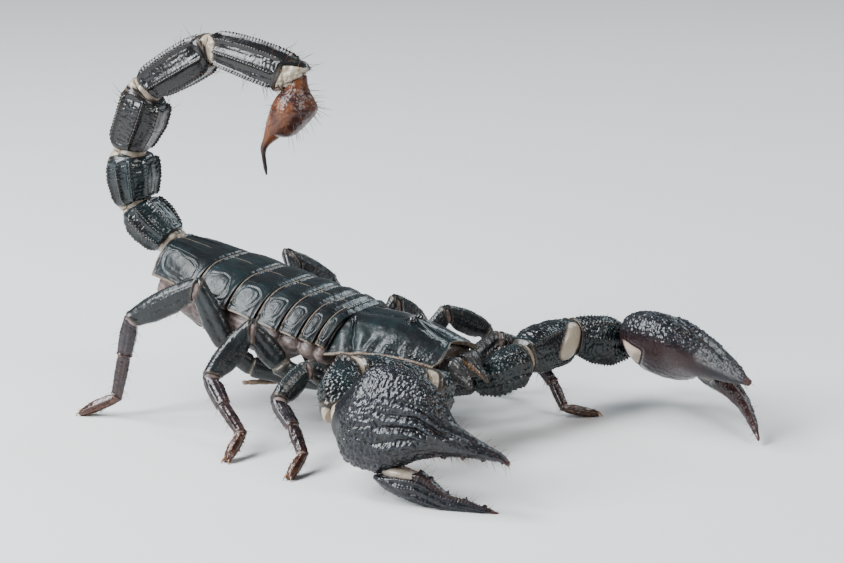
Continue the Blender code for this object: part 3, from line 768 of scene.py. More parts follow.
EYE = Finish("eye", IOR=1.6, Coat_Weight=0.6)
eye_cloud = EYE.noise(0.4 * MM, 2)
EYE.feed("Base Color", EYE.mix(eye_cloud, rgb(0.003, 0.003, 0.004), rgb(0.012, 0.008, 0.007)))
EYE.feed("Roughness", EYE.stretch(eye_cloud, 0.2, 0.8, 0.03, 0.07))


def dome_grid(middle, axis, radius, height, rows=24, columns=48):
    """Rings of a lens that stands on a short collar, from its foot to its top."""
    axis = unit(np.array(axis, dtype=float))
    side = unit(np.cross(axis, (0.31, 0.95, 0.11)))
    other = np.cross(axis, side)
    turn = np.arange(columns)[None, :, None] * 2 * math.pi / columns
    rise = np.linspace(0, 1, rows)[:, None, None] * math.pi / 2 * 0.985
    around = np.cos(turn) * side + np.sin(turn) * other
    collar = 1 + 0.10 * np.exp(-(rise / 0.16) ** 2)
    return (np.array(middle) + around * np.cos(rise) * radius * collar
            + axis * (np.sin(rise) * height - 0.35 * radius))


for side, sign in SIDES:
    axis = BACK_UP + np.array([0.25, 0.75 * sign, 0.0])
    lens = dome_grid(centre_of(f"median_eye_{side}"), axis, 0.74 * MM, 0.95 * MM)
    eye = add_tube(f"middle_eye_{side}", lens, EYE.material, rounding=0.02 * MM)
    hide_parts(f"median_eye_{side}")
    for bead in range(3):
        place_forward = SHIELD_LENGTH - (3.4 + 1.05 * bead) * MM
        place_left = shield_half(place_forward / SHIELD_LENGTH) * (0.93 - 0.01 * bead)
        foot = on_back(np.array(place_forward), np.array(sign * place_left),
                       shield_height(np.array(place_forward), np.array(place_left)) + 0.1 * MM)
        axis = BACK_UP * 0.5 + np.array([0.3, sign, 0.0])
        lens = dome_grid(foot, axis, 0.30 * MM, 0.34 * MM, 12, 24)
        small_eye = add_tube(f"side_eye_{side}_{bead + 1}", lens, EYE.material, rounding=0.01 * MM)


# ---------------------------------------------------------------- tail
# Five ring-like segments of hard cuticle carry the sting.  Long beaded keels run down each
# one, with a trough between the two upper keels, and each ends in a rounded collar.
def end_cap(shape, near):
    """The corners round a solid's flat end, in order; of two ends, the nearer one."""
    groups = []
    seen = set()
    for face in shape.faces:
        if face in seen:
            continue
        seen.add(face)
        group = [face]
        for member in group:
            for edge in member.edges:
                for other in edge.link_faces:
                    if other not in seen and other.normal.dot(face.normal) > 0.99999:
                        seen.add(other)
                        group.append(other)
        groups.append(group)
    largest = max(len(group) for group in groups)
    ends = [group for group in groups if len(group) == largest]
    ends.sort(key=lambda group: (group[0].verts[0].co - Vector(near)).length)
    chosen = set(ends[0])
    rim = [e for f in ends[0] for e in f.edges if sum(o in chosen for o in e.link_faces) == 1]
    ring = [rim[0].verts[0], rim[0].verts[1]]
    while len(ring) < len(rim):
        step_on = [e for e in rim if ring[-1] in e.verts and ring[-2] not in e.verts]
        ring.append(step_on[0].other_vert(ring[-1]))
    return ring


def flat_angles(points, middle, axis, start):
    """Angles of points round an axis, from the direction of the start point."""
    first = unit(start - middle - axis * np.dot(start - middle, axis))
    second = np.cross(axis, first)
    offset = points - middle
    return np.arctan2(offset @ second, offset @ first)


def solid_rings(node, near):
    """A limb's solid as the rings of corners it is built from, starting at the near end."""
    shape = node_solid(node)
    ring = end_cap(shape, near)
    rings = [np.array([v.co for v in ring])]
    seen = set(ring)
    while True:
        following = {e.other_vert(v) for v in ring for e in v.link_edges} - seen
        if len(following) < 3:
            break
        seen |= following
        ring = sorted(following, key=lambda corner: corner.index)
        points = np.array([v.co for v in ring])
        last = rings[-1]
        middle, last_middle = points.mean(axis=0), last.mean(axis=0)
        axis = unit(middle - last_middle)
        before = np.unwrap(flat_angles(last, last_middle, axis, last[0]))
        here = flat_angles(points, middle, axis, middle + last[0] - last_middle)
        order = np.argsort(here if before[-1] > before[0] else -here)
        points, here = points[order], here[order]
        turns = [np.roll(here, -k) - before for k in range(len(points))]
        misfit = [np.abs(np.angle(np.exp(1j * turn))).sum() for turn in turns]
        rings.append(np.roll(points, -int(np.argmin(misfit)), axis=0))
    shape.free()
    return np.array(rings)


class Limb:
    """A fine grid over a limb's solid, with each point's place along and round it."""

    def __init__(self, rings, up, rows, columns, blur):
        self.grid = fill_along(fill_around(rings, columns), rows, blur)
        middles = self.grid.mean(axis=1)
        steps = np.linalg.norm(np.diff(middles, axis=0), axis=1)
        self.run = np.concatenate([[0], np.cumsum(steps)])[:, None]
        self.length = self.run[-1, 0]
        self.share = self.run / self.length
        self.left = self.length - self.run
        tangents = unit(np.gradient(middles, axis=0))
        up = np.array(up, dtype=float)
        up = unit(up - tangents * (tangents @ up)[:, None])
        side = np.cross(tangents, up)
        offset = self.grid - middles[:, None]
        self.angle = np.degrees(np.arctan2((offset * side[:, None]).sum(-1),
                                           (offset * up[:, None]).sum(-1)))
        self.radius = np.linalg.norm(offset, axis=-1)
        self.normals = grid_normals(self.grid)

    def from_angle(self, target):
        """Degrees round the limb from a target angle, which may change along it."""
        return (self.angle - target + 180) % 360 - 180

    def keel(self, target, width):
        """A ridge line at an angle, its width in metres across its crest."""
        return close_to(np.radians(self.from_angle(target)) * self.radius, 0, width)

    def lift(self, millimetres):
        self.grid = self.grid + self.normals * (millimetres * MM)[..., None]


limbs = {}


def add_limb(name, rings, up, rows, columns, blur):
    """A limb's fine grid, kept by name for the skins and bristles that are fixed to it."""
    limbs[name] = Limb(rings, up, rows, columns, blur)
    return limbs[name]


TAIL_SEGMENTS = [f"tail_segment_{number}" for number in range(1, 6)]
TAIL_SHELL = shell_finish("tail_shell", (0.0045, 0.0040, 0.0045), (0.0080, 0.0085, 0.0095), 0.23, 0.18)
curl_middle = sum((centre_of(node) for node in TAIL_SEGMENTS), Vector()) / 5
TAIL_KEELS = {1: (36, 72, 104, 138, 168), 2: (36, 74, 106, 138, 168), 3: (36, 76, 136, 167),
              4: (38, 80, 134, 166), 5: (48, 92, 134, 180)}
near = centre_of("tergite_7")
for number, node in enumerate(TAIL_SEGMENTS, start=1):
    limb = add_limb(node, solid_rings(node, near), curl_middle - centre_of(node), 105, 210, 0.05)
    grid = limb.grid
    lumps = ripples(grid, 1.1 * MM, number)
    body = step(limb.run, 0.5 * MM, 1.8 * MM) * step(limb.left, 1.0 * MM, 1.9 * MM)
    beads = waves(limb.run / (0.62 * MM) + 0.35 * lumps, 0.38)
    bend = 20 * (limb.share - 0.5) ** 2
    lines = [sign * (target - bend) for target in TAIL_KEELS[number] for sign in (-1, 1)]
    keels = strongest(limb.keel(line, 0.26 * MM) for line in lines)
    flutes = strongest(limb.keel(line, 0.95 * MM) for line in lines)
    trough = close_to(limb.from_angle(0), 0, 26)
    between = 1 - np.maximum(keels, trough)
    crossing = np.sin(2 * np.pi * limb.run / (0.9 * MM) + 3 * lumps)
    grains = pebbles(grid, 0.5 * MM, 70 + number)
    # Streaks are ripples drawn out along the ring: their cells are narrow round it.
    turn = np.radians(limb.angle)
    drawn_out = np.broadcast_to(limb.run / (2.6 * MM), turn.shape)
    streaks = ripples(np.stack([7 * np.cos(turn), 7 * np.sin(turn), drawn_out], axis=-1), 1.0, number)
    neck = step(limb.left, 0.5 * MM, 0.0) + step(limb.run, 0.7 * MM, 0.0)
    front_rim = close_to(limb.run, 1.0 * MM, 0.35 * MM)
    # The joints gape on the outer side of the curl, and widest before the venom bulb.
    outer_corner = close_to(np.abs(limb.angle), 142, 34)
    gape = 0.9 * outer_corner
    if number == 5:
        gape = 0.4 * outer_corner + 1.9 * step(np.abs(limb.angle), 150, 118)
    bare = np.maximum(step(limb.left, gape * MM, (gape - 0.3) * MM),
                      step(limb.run, 0.7 * gape * MM, (0.7 * gape - 0.3) * MM) * (number > 1))
    bare = bare * step(gape, 0.1, 0.35)
    lumpy = pebbles(grid, 1.1 * MM, 95) * bare
    rim = close_to(limb.left, (gape + 0.75) * MM, 0.40 * MM)
    body = body * step(limb.left, (gape + 0.9) * MM, (gape + 1.8) * MM)
    streaky = 0.13 if number < 3 else 0.05
    lined, grainy, wavy = (0.02, 0.030, 0.022) if number > 3 else (0.05, 0.045, 0.040)
    lift = ((0.20 + 0.24 * beads) * keels * body - 0.42 * trough * body - 0.30 * between * body
            + (0.30 * (flutes - 0.5) + streaky * streaks) * body
            + lined * between * body * crossing * step(lumps, -0.2, 0.6)
            + 0.18 * rim + 0.08 * front_rim - 0.5 * neck - 0.25 * bare
            + grainy * grains * between * body + wavy * ripples(grid, 0.6 * MM, 80 + number))
    lift = lift * (1 - 0.6 * bare) + (0.05 + 0.45 * (number == 5) * lumpy) * bare
    limb.lift(lift)
    edge_line = close_to(limb.left, (gape + 0.42) * MM, 0.14 * MM)
    # The tan line near each joint's edge is the shell's own colour; the tan on the tops of the keels'
    # beads is a painted highlight.
    tan = 0.9 * edge_line * step(lumps, -0.6, 0.3) + 0.22 * keels * body * (beads > 0.8)
    piece = add_tube(f"tail_ring_{number}", limb.grid, SHELL if number < 3 else TAIL_SHELL,
                     {"tan": np.clip(tan, 0, 1), "pale": bare, "satin": 0.15 * between}, 0.5 * MM)
    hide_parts(node)
    near = centre_of(node)

# The venom bulb is red-brown, lumpy with round grains towards the tail and smoother below,
# and narrows into the hooked sting, dark red with a black point.
VENOM = Finish("venom", IOR=1.48)
venom_cloud = VENOM.noise(3.2 * MM, 3)
grain_highlight = VENOM.painted("relief_shading")
venom = VENOM.mix(VENOM.stretch(venom_cloud, 0.35, 0.62), rgb(0.026, 0.007, 0.006),
                  rgb(0.115, 0.034, 0.009))
# The tops of the grains are painted a lighter orange-brown: a painted highlight.
venom = VENOM.mix(VENOM.stretch(grain_highlight, 0.5, 1.0, 0, 0.35), venom, rgb(0.170, 0.060, 0.030))
venom = VENOM.mix(VENOM.painted("dark"), venom, rgb(0.008, 0.003, 0.003))
VENOM.feed("Base Color", venom)
VENOM.feed("Roughness", VENOM.stretch(venom_cloud, 0.3, 0.8, 0.30, 0.42))
VENOM.feed("Normal", VENOM.bump(VENOM.noise(0.12 * MM, 3), 0.012 * MM, 0.5))

up = curl_middle - centre_of("telson_vesicle")
bulb = add_limb("telson_vesicle", solid_rings("telson_vesicle", near), up, 120, 160, 0.06)
grains = pebbles(bulb.grid, 0.70 * MM, 91)
rough_part = step(bulb.share, 0.92, 0.55) * step(bulb.share, 0.02, 0.12)
rows_of_grains = waves(12 * bulb.angle / 360)
bulb.lift((0.13 * grains * (0.35 + 0.65 * rows_of_grains) - 0.04) * rough_part
          + 0.07 * ripples(bulb.grid, 1.8 * MM, 92) - 0.4 * step(bulb.run, 0.5 * MM, 0.0))
# The grains' relief here drives that painted highlight on their tops.
bulb_piece = add_tube("venom_bulb", bulb.grid, VENOM.material, {"relief_shading": grains * rough_part},
                      0.3 * MM)
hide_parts("telson_vesicle")

sting = Limb(solid_rings("sting", centre_of("telson_vesicle")), up, 90, 48, 0.07)
sting.lift(0.02 * ripples(sting.grid, 0.8 * MM, 93) - 0.12 * step(sting.share, 0.85, 1.0)
           - 0.34 * step(sting.share, 0.0, 0.35) * step(sting.share, 1.0, 0.55))
sting_piece = add_tube("sting_hook", sting.grid, VENOM.material,
                       {"dark": step(sting.share, 0.15, 0.75)}, 0.12 * MM)
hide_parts("sting")


# ---------------------------------------------------------------- legs
# Each leg has a hip piece and thigh, a broad flat knee piece, and a slender shin and foot.
# The upper pieces are smooth green-black with beaded edges, the foot is red-brown and
# spiny, and ends in two tan claws.
LEG_SHELL = shell_finish("leg_shell", (0.005, 0.006, 0.007), (0.011, 0.016, 0.017), 0.29, 0.6)


def foot_finish():
    foot = Finish("foot_shell", IOR=1.54)
    clouds = foot.noise(1.2 * MM, 3)
    dark = foot.mix(foot.stretch(clouds, 0.3, 0.7), rgb(0.007, 0.005, 0.007),
                    rgb(0.020, 0.012, 0.015))
    red = foot.mix(foot.stretch(clouds, 0.3, 0.7), rgb(0.022, 0.008, 0.006),
                   rgb(0.070, 0.026, 0.016))
    colour = foot.mix(foot.painted("red"), dark, red)
    colour = foot.mix(foot.painted("tan"), colour, rgb(0.330, 0.160, 0.060))
    foot.feed("Base Color", colour)
    foot.feed("Roughness", foot.stretch(clouds, 0.3, 0.8, 0.20, 0.34))
    foot.feed("Normal", foot.bump(foot.noise(0.1 * MM, 3), 0.015 * MM, 0.5))
    return foot.material


FOOT_SHELL = foot_finish()


def hook_grid(root, out, down, length, width, curl, rows=16, columns=12):
    """Rings of a curved, tapering spike that starts along out and bends down."""
    out, down = unit(np.array(out, dtype=float)), np.array(down, dtype=float)
    down = unit(down - out * np.dot(down, out))
    side = np.cross(out, down)
    share = np.linspace(0, 1, rows)[:, None]
    bend = curl * share
    middle = root + length * (out * np.sin(bend) + down * (1 - np.cos(bend))) / curl
    radius = width * (1 - share) ** 0.75 + 0.012 * MM
    cross = down * np.cos(bend) - out * np.sin(bend)
    turn = np.arange(columns) * 2 * math.pi / columns
    around = (np.cos(turn)[None, :, None] * cross[:, None] + np.sin(turn)[None, :, None] * side)
    return middle[:, None] + around * radius[..., None]


def add_leg(side, number):
    leg = f"{side}_leg_{number}"
    thigh_rings = solid_rings(f"{leg}_femur", (centre_of(f"{leg}_femur").x, MIDDLE, 0.0))
    knee = thigh_rings[-1].mean(axis=0)
    up = np.array((0.0, 0.0, 1.0))
    salt = 100 + 10 * number + (5 if side == "left" else 0)

    thigh = add_limb(f"{leg}_femur", thigh_rings, up, 96, 72, 0.03)
    hip = thigh.length * 0.53
    beads = waves(thigh.run / (0.42 * MM), 0.4)
    edge = np.maximum(thigh.keel(0, 0.20 * MM), thigh.keel(180, 0.20 * MM))
    seam = close_to(thigh.run, hip, 0.30 * MM) + close_to(thigh.run, 0.52 * hip, 0.25 * MM)
    collar = close_to(thigh.run, hip - 0.7 * MM, 0.3 * MM) + close_to(thigh.left, 0.6 * MM, 0.3 * MM)
    outer = step(thigh.run, hip + 0.5 * MM, hip + 1.5 * MM)
    hollow = close_to(thigh.from_angle(90), 0, 26) + close_to(thigh.from_angle(-90), 0, 26)
    thigh.lift(0.20 * edge * beads * outer - 0.32 * seam + 0.10 * collar - 0.22 * hollow * outer
               - 0.30 * step(thigh.left, 0.5 * MM, 0.0)
               + 0.05 * ripples(thigh.grid, 0.9 * MM, salt)
               + 0.07 * pebbles(thigh.grid, 0.42 * MM, salt) * outer)
    # The tan collar is the shell's own colour; the tan on the tops of the edge beads is a painted
    # highlight.
    piece = add_tube(f"{leg}_thigh", thigh.grid, LEG_SHELL,
                     {"tan": 0.3 * collar + 0.2 * edge * outer * (beads > 0.8),
                      "pale": 0.5 * seam ** 2}, 0.25 * MM)
    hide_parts(f"{leg}_femur")

    calf = add_limb(f"{leg}_patella", solid_rings(f"{leg}_patella", knee), up, 84, 72, 0.05)
    beads = waves(calf.run / (0.45 * MM), 0.4)
    edge = np.maximum(calf.keel(12, 0.17 * MM), calf.keel(172, 0.17 * MM))
    face_keel = calf.keel(62, 0.2 * MM) + calf.keel(-62, 0.2 * MM)
    hollow = close_to(calf.from_angle(98), 0, 20) + close_to(calf.from_angle(-98), 0, 20)
    collar = close_to(calf.left, 0.55 * MM, 0.26 * MM) + 0.7 * close_to(calf.run, 0.6 * MM, 0.2 * MM)
    middle = step(calf.run, 0.5 * MM, 1.6 * MM) * step(calf.left, 0.8 * MM, 1.6 * MM)
    calf.lift(0.20 * edge * beads * middle + 0.13 * face_keel * middle * beads + 0.12 * collar
              - 0.20 * hollow * middle
              - 0.28 * step(calf.left, 0.45 * MM, 0.0) - 0.25 * step(calf.run, 0.4 * MM, 0.0)
              + 0.05 * ripples(calf.grid, 0.9 * MM, salt + 1)
              + 0.065 * pebbles(calf.grid, 0.42 * MM, salt + 1))
    # The tan collar is the shell's own colour; the tan on the tops of the edge beads is a painted
    # highlight.
    piece = add_tube(f"{leg}_knee_piece", calf.grid, LEG_SHELL,
                     {"tan": 0.35 * collar + 0.2 * edge * middle * (beads > 0.8)}, 0.25 * MM)
    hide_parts(f"{leg}_patella")

    rings = solid_rings(f"{leg}_foot", centre_of(f"{leg}_patella"))
    for part, first, last, redness in (("shin", 0, 3, 0.0), ("ankle", 2, 5, 0.25), ("foot", 4, 8, 0.9)):
        part_rings = rings[first:last].copy()
        if part != "shin":
            middle = part_rings[0].mean(axis=0)
            part_rings[0] = middle + (part_rings[0] - middle) * 0.86
        limb = add_limb(f"{leg}_{part}", part_rings, up, 52, 44, 0.05)
        ridges = strongest(limb.keel(sign * target, 0.11 * MM)
                           for target in (22, 68, 112, 158) for sign in (1, -1))
        middle = step(limb.run, 0.3 * MM, 0.9 * MM) * step(limb.left, 0.4 * MM, 0.9 * MM)
        collar = close_to(limb.left, 0.32 * MM, 0.2 * MM)
        limb.lift(0.21 * ridges * middle + 0.14 * collar * (part != "foot") - 0.08 * middle
                  - 0.16 * step(limb.left, 0.3 * MM, 0.0) + 0.04 * ripples(limb.grid, 0.5 * MM, salt)
                  + 0.04 * pebbles(limb.grid, 0.3 * MM, salt + 2))
        limb.grid[..., 2] = np.maximum(limb.grid[..., 2], 0.02 * MM)
        red = np.clip(redness + 0.5 * collar + 0.25 * step(limb.share, 0.6, 1.0), 0, 1)
        # The red is the shell's own colour; the tan along the foot's ridge crests is a painted
        # highlight.
        piece = add_tube(f"{leg}_{part}", limb.grid, FOOT_SHELL,
                         {"red": red, "tan": 0.12 * ridges * (part == "foot")}, 0.12 * MM)
        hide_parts(f"{leg}_foot")

    foot = limbs[f"{leg}_foot"]
    end = foot.grid[-1].mean(axis=0)
    out = unit(end - foot.grid[-12].mean(axis=0))
    sideways = unit(np.cross(out, up))
    for claw, spread in (("front", -1), ("back", 1)):
        root = end - out * 0.5 * MM + sideways * spread * 0.36 * MM + up * 0.25 * MM
        grid = hook_grid(root, out + 0.35 * spread * sideways + 0.35 * up, -up, 1.7 * MM, 0.22 * MM,
                         1.25)
        grid[..., 2] = np.maximum(grid[..., 2], 0.02 * MM)
        piece = add_tube(f"{leg}_claw_{claw}", grid, FOOT_SHELL, {"red": 1.0, "tan": 0.9}, 0.02 * MM)


for side, _ in SIDES:
    for number in range(1, 5):
        add_leg(side, number)


# ---------------------------------------------------------------- arms
# Each arm is a knobbly hip piece, a square-cut upper piece with beaded edges and a shorter
# swollen piece before the claw.  Smooth ivory skin closes the joints between them.
def arm_relief(limb, keel_angles, salt, coarse, start_gape, end_gape):
    """Keels, grains and bare skin at the ends of an arm piece: the lift and the paint.

    A gape is the widest bare band in millimetres, the angle where it is widest, and the
    cosine away from there at which it has closed.
    """
    start_skin, end_skin = (
        gape * MM * step(np.cos(np.radians(limb.from_angle(at))), closed, 0.85)
        for gape, at, closed in (start_gape, end_gape))
    beads = waves(limb.run / (0.62 * MM), 0.45)
    body = step(limb.run, start_skin + 0.5 * MM, start_skin + 1.5 * MM)
    body = body * step(limb.left, end_skin + 0.6 * MM, end_skin + 1.5 * MM)
    keels = strongest(limb.keel(target, 0.30 * MM) for target in keel_angles)
    hollow = strongest(close_to(limb.from_angle(target), 0, 22) for target in (90, -90, 0, 180))
    grains = pebbles(limb.grid, 0.60 * MM, salt)
    collar = close_to(limb.left, end_skin + 0.45 * MM, 0.32 * MM)
    collar = collar + close_to(limb.run, start_skin + 0.45 * MM, 0.32 * MM)
    bare = np.maximum(step(limb.run, start_skin, start_skin - 0.25 * MM) * (start_skin > 0.1 * MM),
                      step(limb.left, end_skin, end_skin - 0.25 * MM) * (end_skin > 0.1 * MM))
    shell = 1 - bare
    lift = ((0.40 * keels * beads - 0.10 * (1 - keels) - 0.24 * hollow) * body
            + 0.20 * collar * shell
            + coarse * grains * (1 - 0.7 * keels) * shell * (0.3 + 0.7 * body)
            + 0.10 * ripples(limb.grid, 1.6 * MM, salt + 1) * shell
            + 0.03 * ripples(limb.grid, 0.5 * MM, salt + 2) - 0.10 * bare)
    lift = lift - 0.3 * step(limb.run, 0.4 * MM, 0.0) - 0.3 * step(limb.left, 0.4 * MM, 0.0)
    # The tan collars are the shell's own colour; the tan on the keels' bead tops is a painted
    # highlight.
    tan = np.clip(0.30 * collar * shell + 0.25 * keels * body * (beads > 0.85), 0, 1)
    return lift, {"tan": tan, "pale": bare, "relief_shading": grains * shell}


HIP_KEELS = (32, 68, 112, 148, -32, -68, -112, -148)
UPPER_KEELS = (40, 140, -40, -140)
FORE_KEELS = (30, 75, 150, -35, -80, -150)
NO_GAPE = (0.0, 0, 0.0)
SHOULDER_GAPE = {"right": (1.3, -74, -0.1), "left": (0.9, 100, -0.25)}
ELBOW_GAPE = {"right": (1.6, -42, 0.2), "left": NO_GAPE}
WRIST_GAPE = {"right": (1.2, 110, -0.25), "left": (0.6, 70, -0.25)}
BALL_LONG, BALL_SHORT = 4.7, 2.6
for side, _ in SIDES:
    up = (0.0, 0.0, 1.0)
    salt = 200 if side == "right" else 230
    rings = solid_rings(f"{side}_arm_base", centre_of("head_underside"))
    base = add_limb(f"{side}_arm_base", rings, up, 130, 120, 0.04)
    knob = step(base.share, 0.25, 0.42)
    waist = close_to(base.share, 0.30, 0.035)
    lift, paint = arm_relief(base, HIP_KEELS, salt, 0.26, NO_GAPE, SHOULDER_GAPE[side])
    base.lift(lift * (0.35 + 0.65 * knob) - 0.55 * waist + 0.25 * close_to(base.share, 0.38, 0.03))
    base_piece = add_tube(f"{side}_hip_knob", base.grid, SHELL, paint, 0.3 * MM)
    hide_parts(f"{side}_arm_base")

    rings = solid_rings(f"{side}_arm_femur", centre_of(f"{side}_arm_base"))
    upper = add_limb(f"{side}_arm_femur", rings, up, 110, 140, 0.04)
    lift, paint = arm_relief(upper, UPPER_KEELS, salt + 5, 0.20, NO_GAPE, ELBOW_GAPE[side])
    if side == "left":
        # The left elbow is bent sharply, and an oval ball of bare skin swells out of its
        # front, with a low rim of shell round it.
        lift = lift + 0.7 * close_to(upper.share, 0.30, 0.22) * close_to(upper.from_angle(-10), 0, 45)
        along = upper.left / MM - 4.0
        down = np.radians(upper.from_angle(77)) * 3.7
        ball = (1 - ((0.845 * along + 0.535 * down) / BALL_LONG) ** 2
                - ((0.845 * down - 0.535 * along) / BALL_SHORT) ** 2)
        skin = step(ball, 0.0, 0.12)
        lift = (lift * (1 - 0.8 * skin) + 1.1 * np.sqrt(np.clip(ball, 0, 1))
                + 0.2 * close_to(ball, -0.3, 0.2))
        paint["pale"] = np.maximum(paint["pale"], skin)
        paint["tan"] = paint["tan"] * (1 - skin)
    upper.lift(lift)
    upper_piece = add_tube(f"{side}_upper_arm", upper.grid, SHELL, paint, 0.3 * MM)
    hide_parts(f"{side}_arm_femur")

    rings = solid_rings(f"{side}_arm_patella", centre_of(f"{side}_arm_femur"))
    fore = add_limb(f"{side}_arm_patella", rings, up, 120, 140, 0.04)
    lift, paint = arm_relief(fore, FORE_KEELS, salt + 10, 0.22, NO_GAPE, WRIST_GAPE[side])
    swell = close_to(fore.share, 0.35, 0.2) * close_to(fore.from_angle(90), 0, 50)
    fore.lift(lift + 0.2 * swell)
    if side == "right":
        # This elbow is straighter, so the shell of the shorter piece reaches back over it.
        backward = unit(fore.grid[0].mean(axis=0) - fore.grid[20].mean(axis=0))
        pull = 1.5 * MM * step(fore.run, 4.0 * MM, 0.0) ** 2
        fore.grid = fore.grid + backward * pull[..., None]
    fore_piece = add_tube(f"{side}_forearm", fore.grid, SHELL, paint, 0.3 * MM)
    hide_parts(f"{side}_arm_patella")


# ---------------------------------------------------------------- claws
# Each claw is one swollen hand that runs on into the fixed finger, and a moving finger
# hinged below it.  The outer face is packed with round grains and fans into keels at the
# finger's root; the inner face is smoother and maroon; toothed edges face each other.
def claw_finish():
    claw = Finish("claw_shell", IOR=1.48)
    clouds = claw.noise(6 * MM, 3)
    dark = claw.mix(claw.stretch(clouds, 0.35, 0.7), rgb(0.0035, 0.004, 0.005),
                    rgb(0.008, 0.008, 0.012))
    # Grain and keel tops, from the painted relief, get a lighter blue-grey than the seams: a painted
    # pearly sheen.
    tops = claw.mix(clouds, rgb(0.010, 0.018, 0.023), rgb(0.018, 0.018, 0.028))
    colour = claw.mix(claw.stretch(claw.painted("relief_shading"), 0.45, 1.0), dark, tops)
    colour = claw.mix(claw.painted("red"), colour, rgb(0.022, 0.005, 0.005))
    colour = claw.mix(claw.painted("tan"), colour, rgb(0.230, 0.090, 0.055))
    colour = claw.mix(claw.painted("pale"), colour, rgb(0.420, 0.340, 0.270))
    claw.feed("Base Color", colour)
    worn = claw.stretch(claw.noise(1.1 * MM, 4), 0.3, 0.75, 0.23, 0.36)
    claw.feed("Roughness", worn + 0.20 * claw.painted("satin"))
    fine = claw.bump(claw.noise(0.09 * MM, 3), 0.012 * MM, 0.5)
    claw.feed("Normal", claw.bump(claw.cells(0.24 * MM), 0.020 * MM, 0.5, fine))
    return claw.material


CLAW_SHELL = claw_finish()


def claw_axes(side, rings):
    """A claw's direction, and its rise: the long way across the hand, off the moving finger."""
    middles = rings.mean(axis=1)
    direction = unit(middles[5] - middles[1])
    off_finger = (solid_corners(f"{side}_claw_hand").mean(axis=0)
                  - solid_corners(f"{side}_claw_finger").mean(axis=0))
    spread = rings[3] - middles[3]
    spread = spread - np.outer(spread @ direction, direction)
    long_way = np.linalg.eigh(spread.T @ spread)[1][:, 2]
    rise = long_way * np.sign(long_way @ off_finger)
    return direction, unit(rise - direction * (rise @ direction))


def wedge(along, down, corners):
    """Distance inside a patch with three rounded corners, negative outside it."""
    corners = np.array(corners)
    total = 0.0
    for first, second in zip(corners, np.roll(corners, -1, axis=0)):
        edge = unit(second - first)
        normal = np.array((-edge[1], edge[0]))
        normal = normal * np.sign(normal @ (corners.mean(axis=0) - first))
        inward = normal[0] * (along - first[0]) + normal[1] * (down - first[1])
        total = total + np.exp(-inward / CORNER_RADIUS)
    return -CORNER_RADIUS * np.log(total)


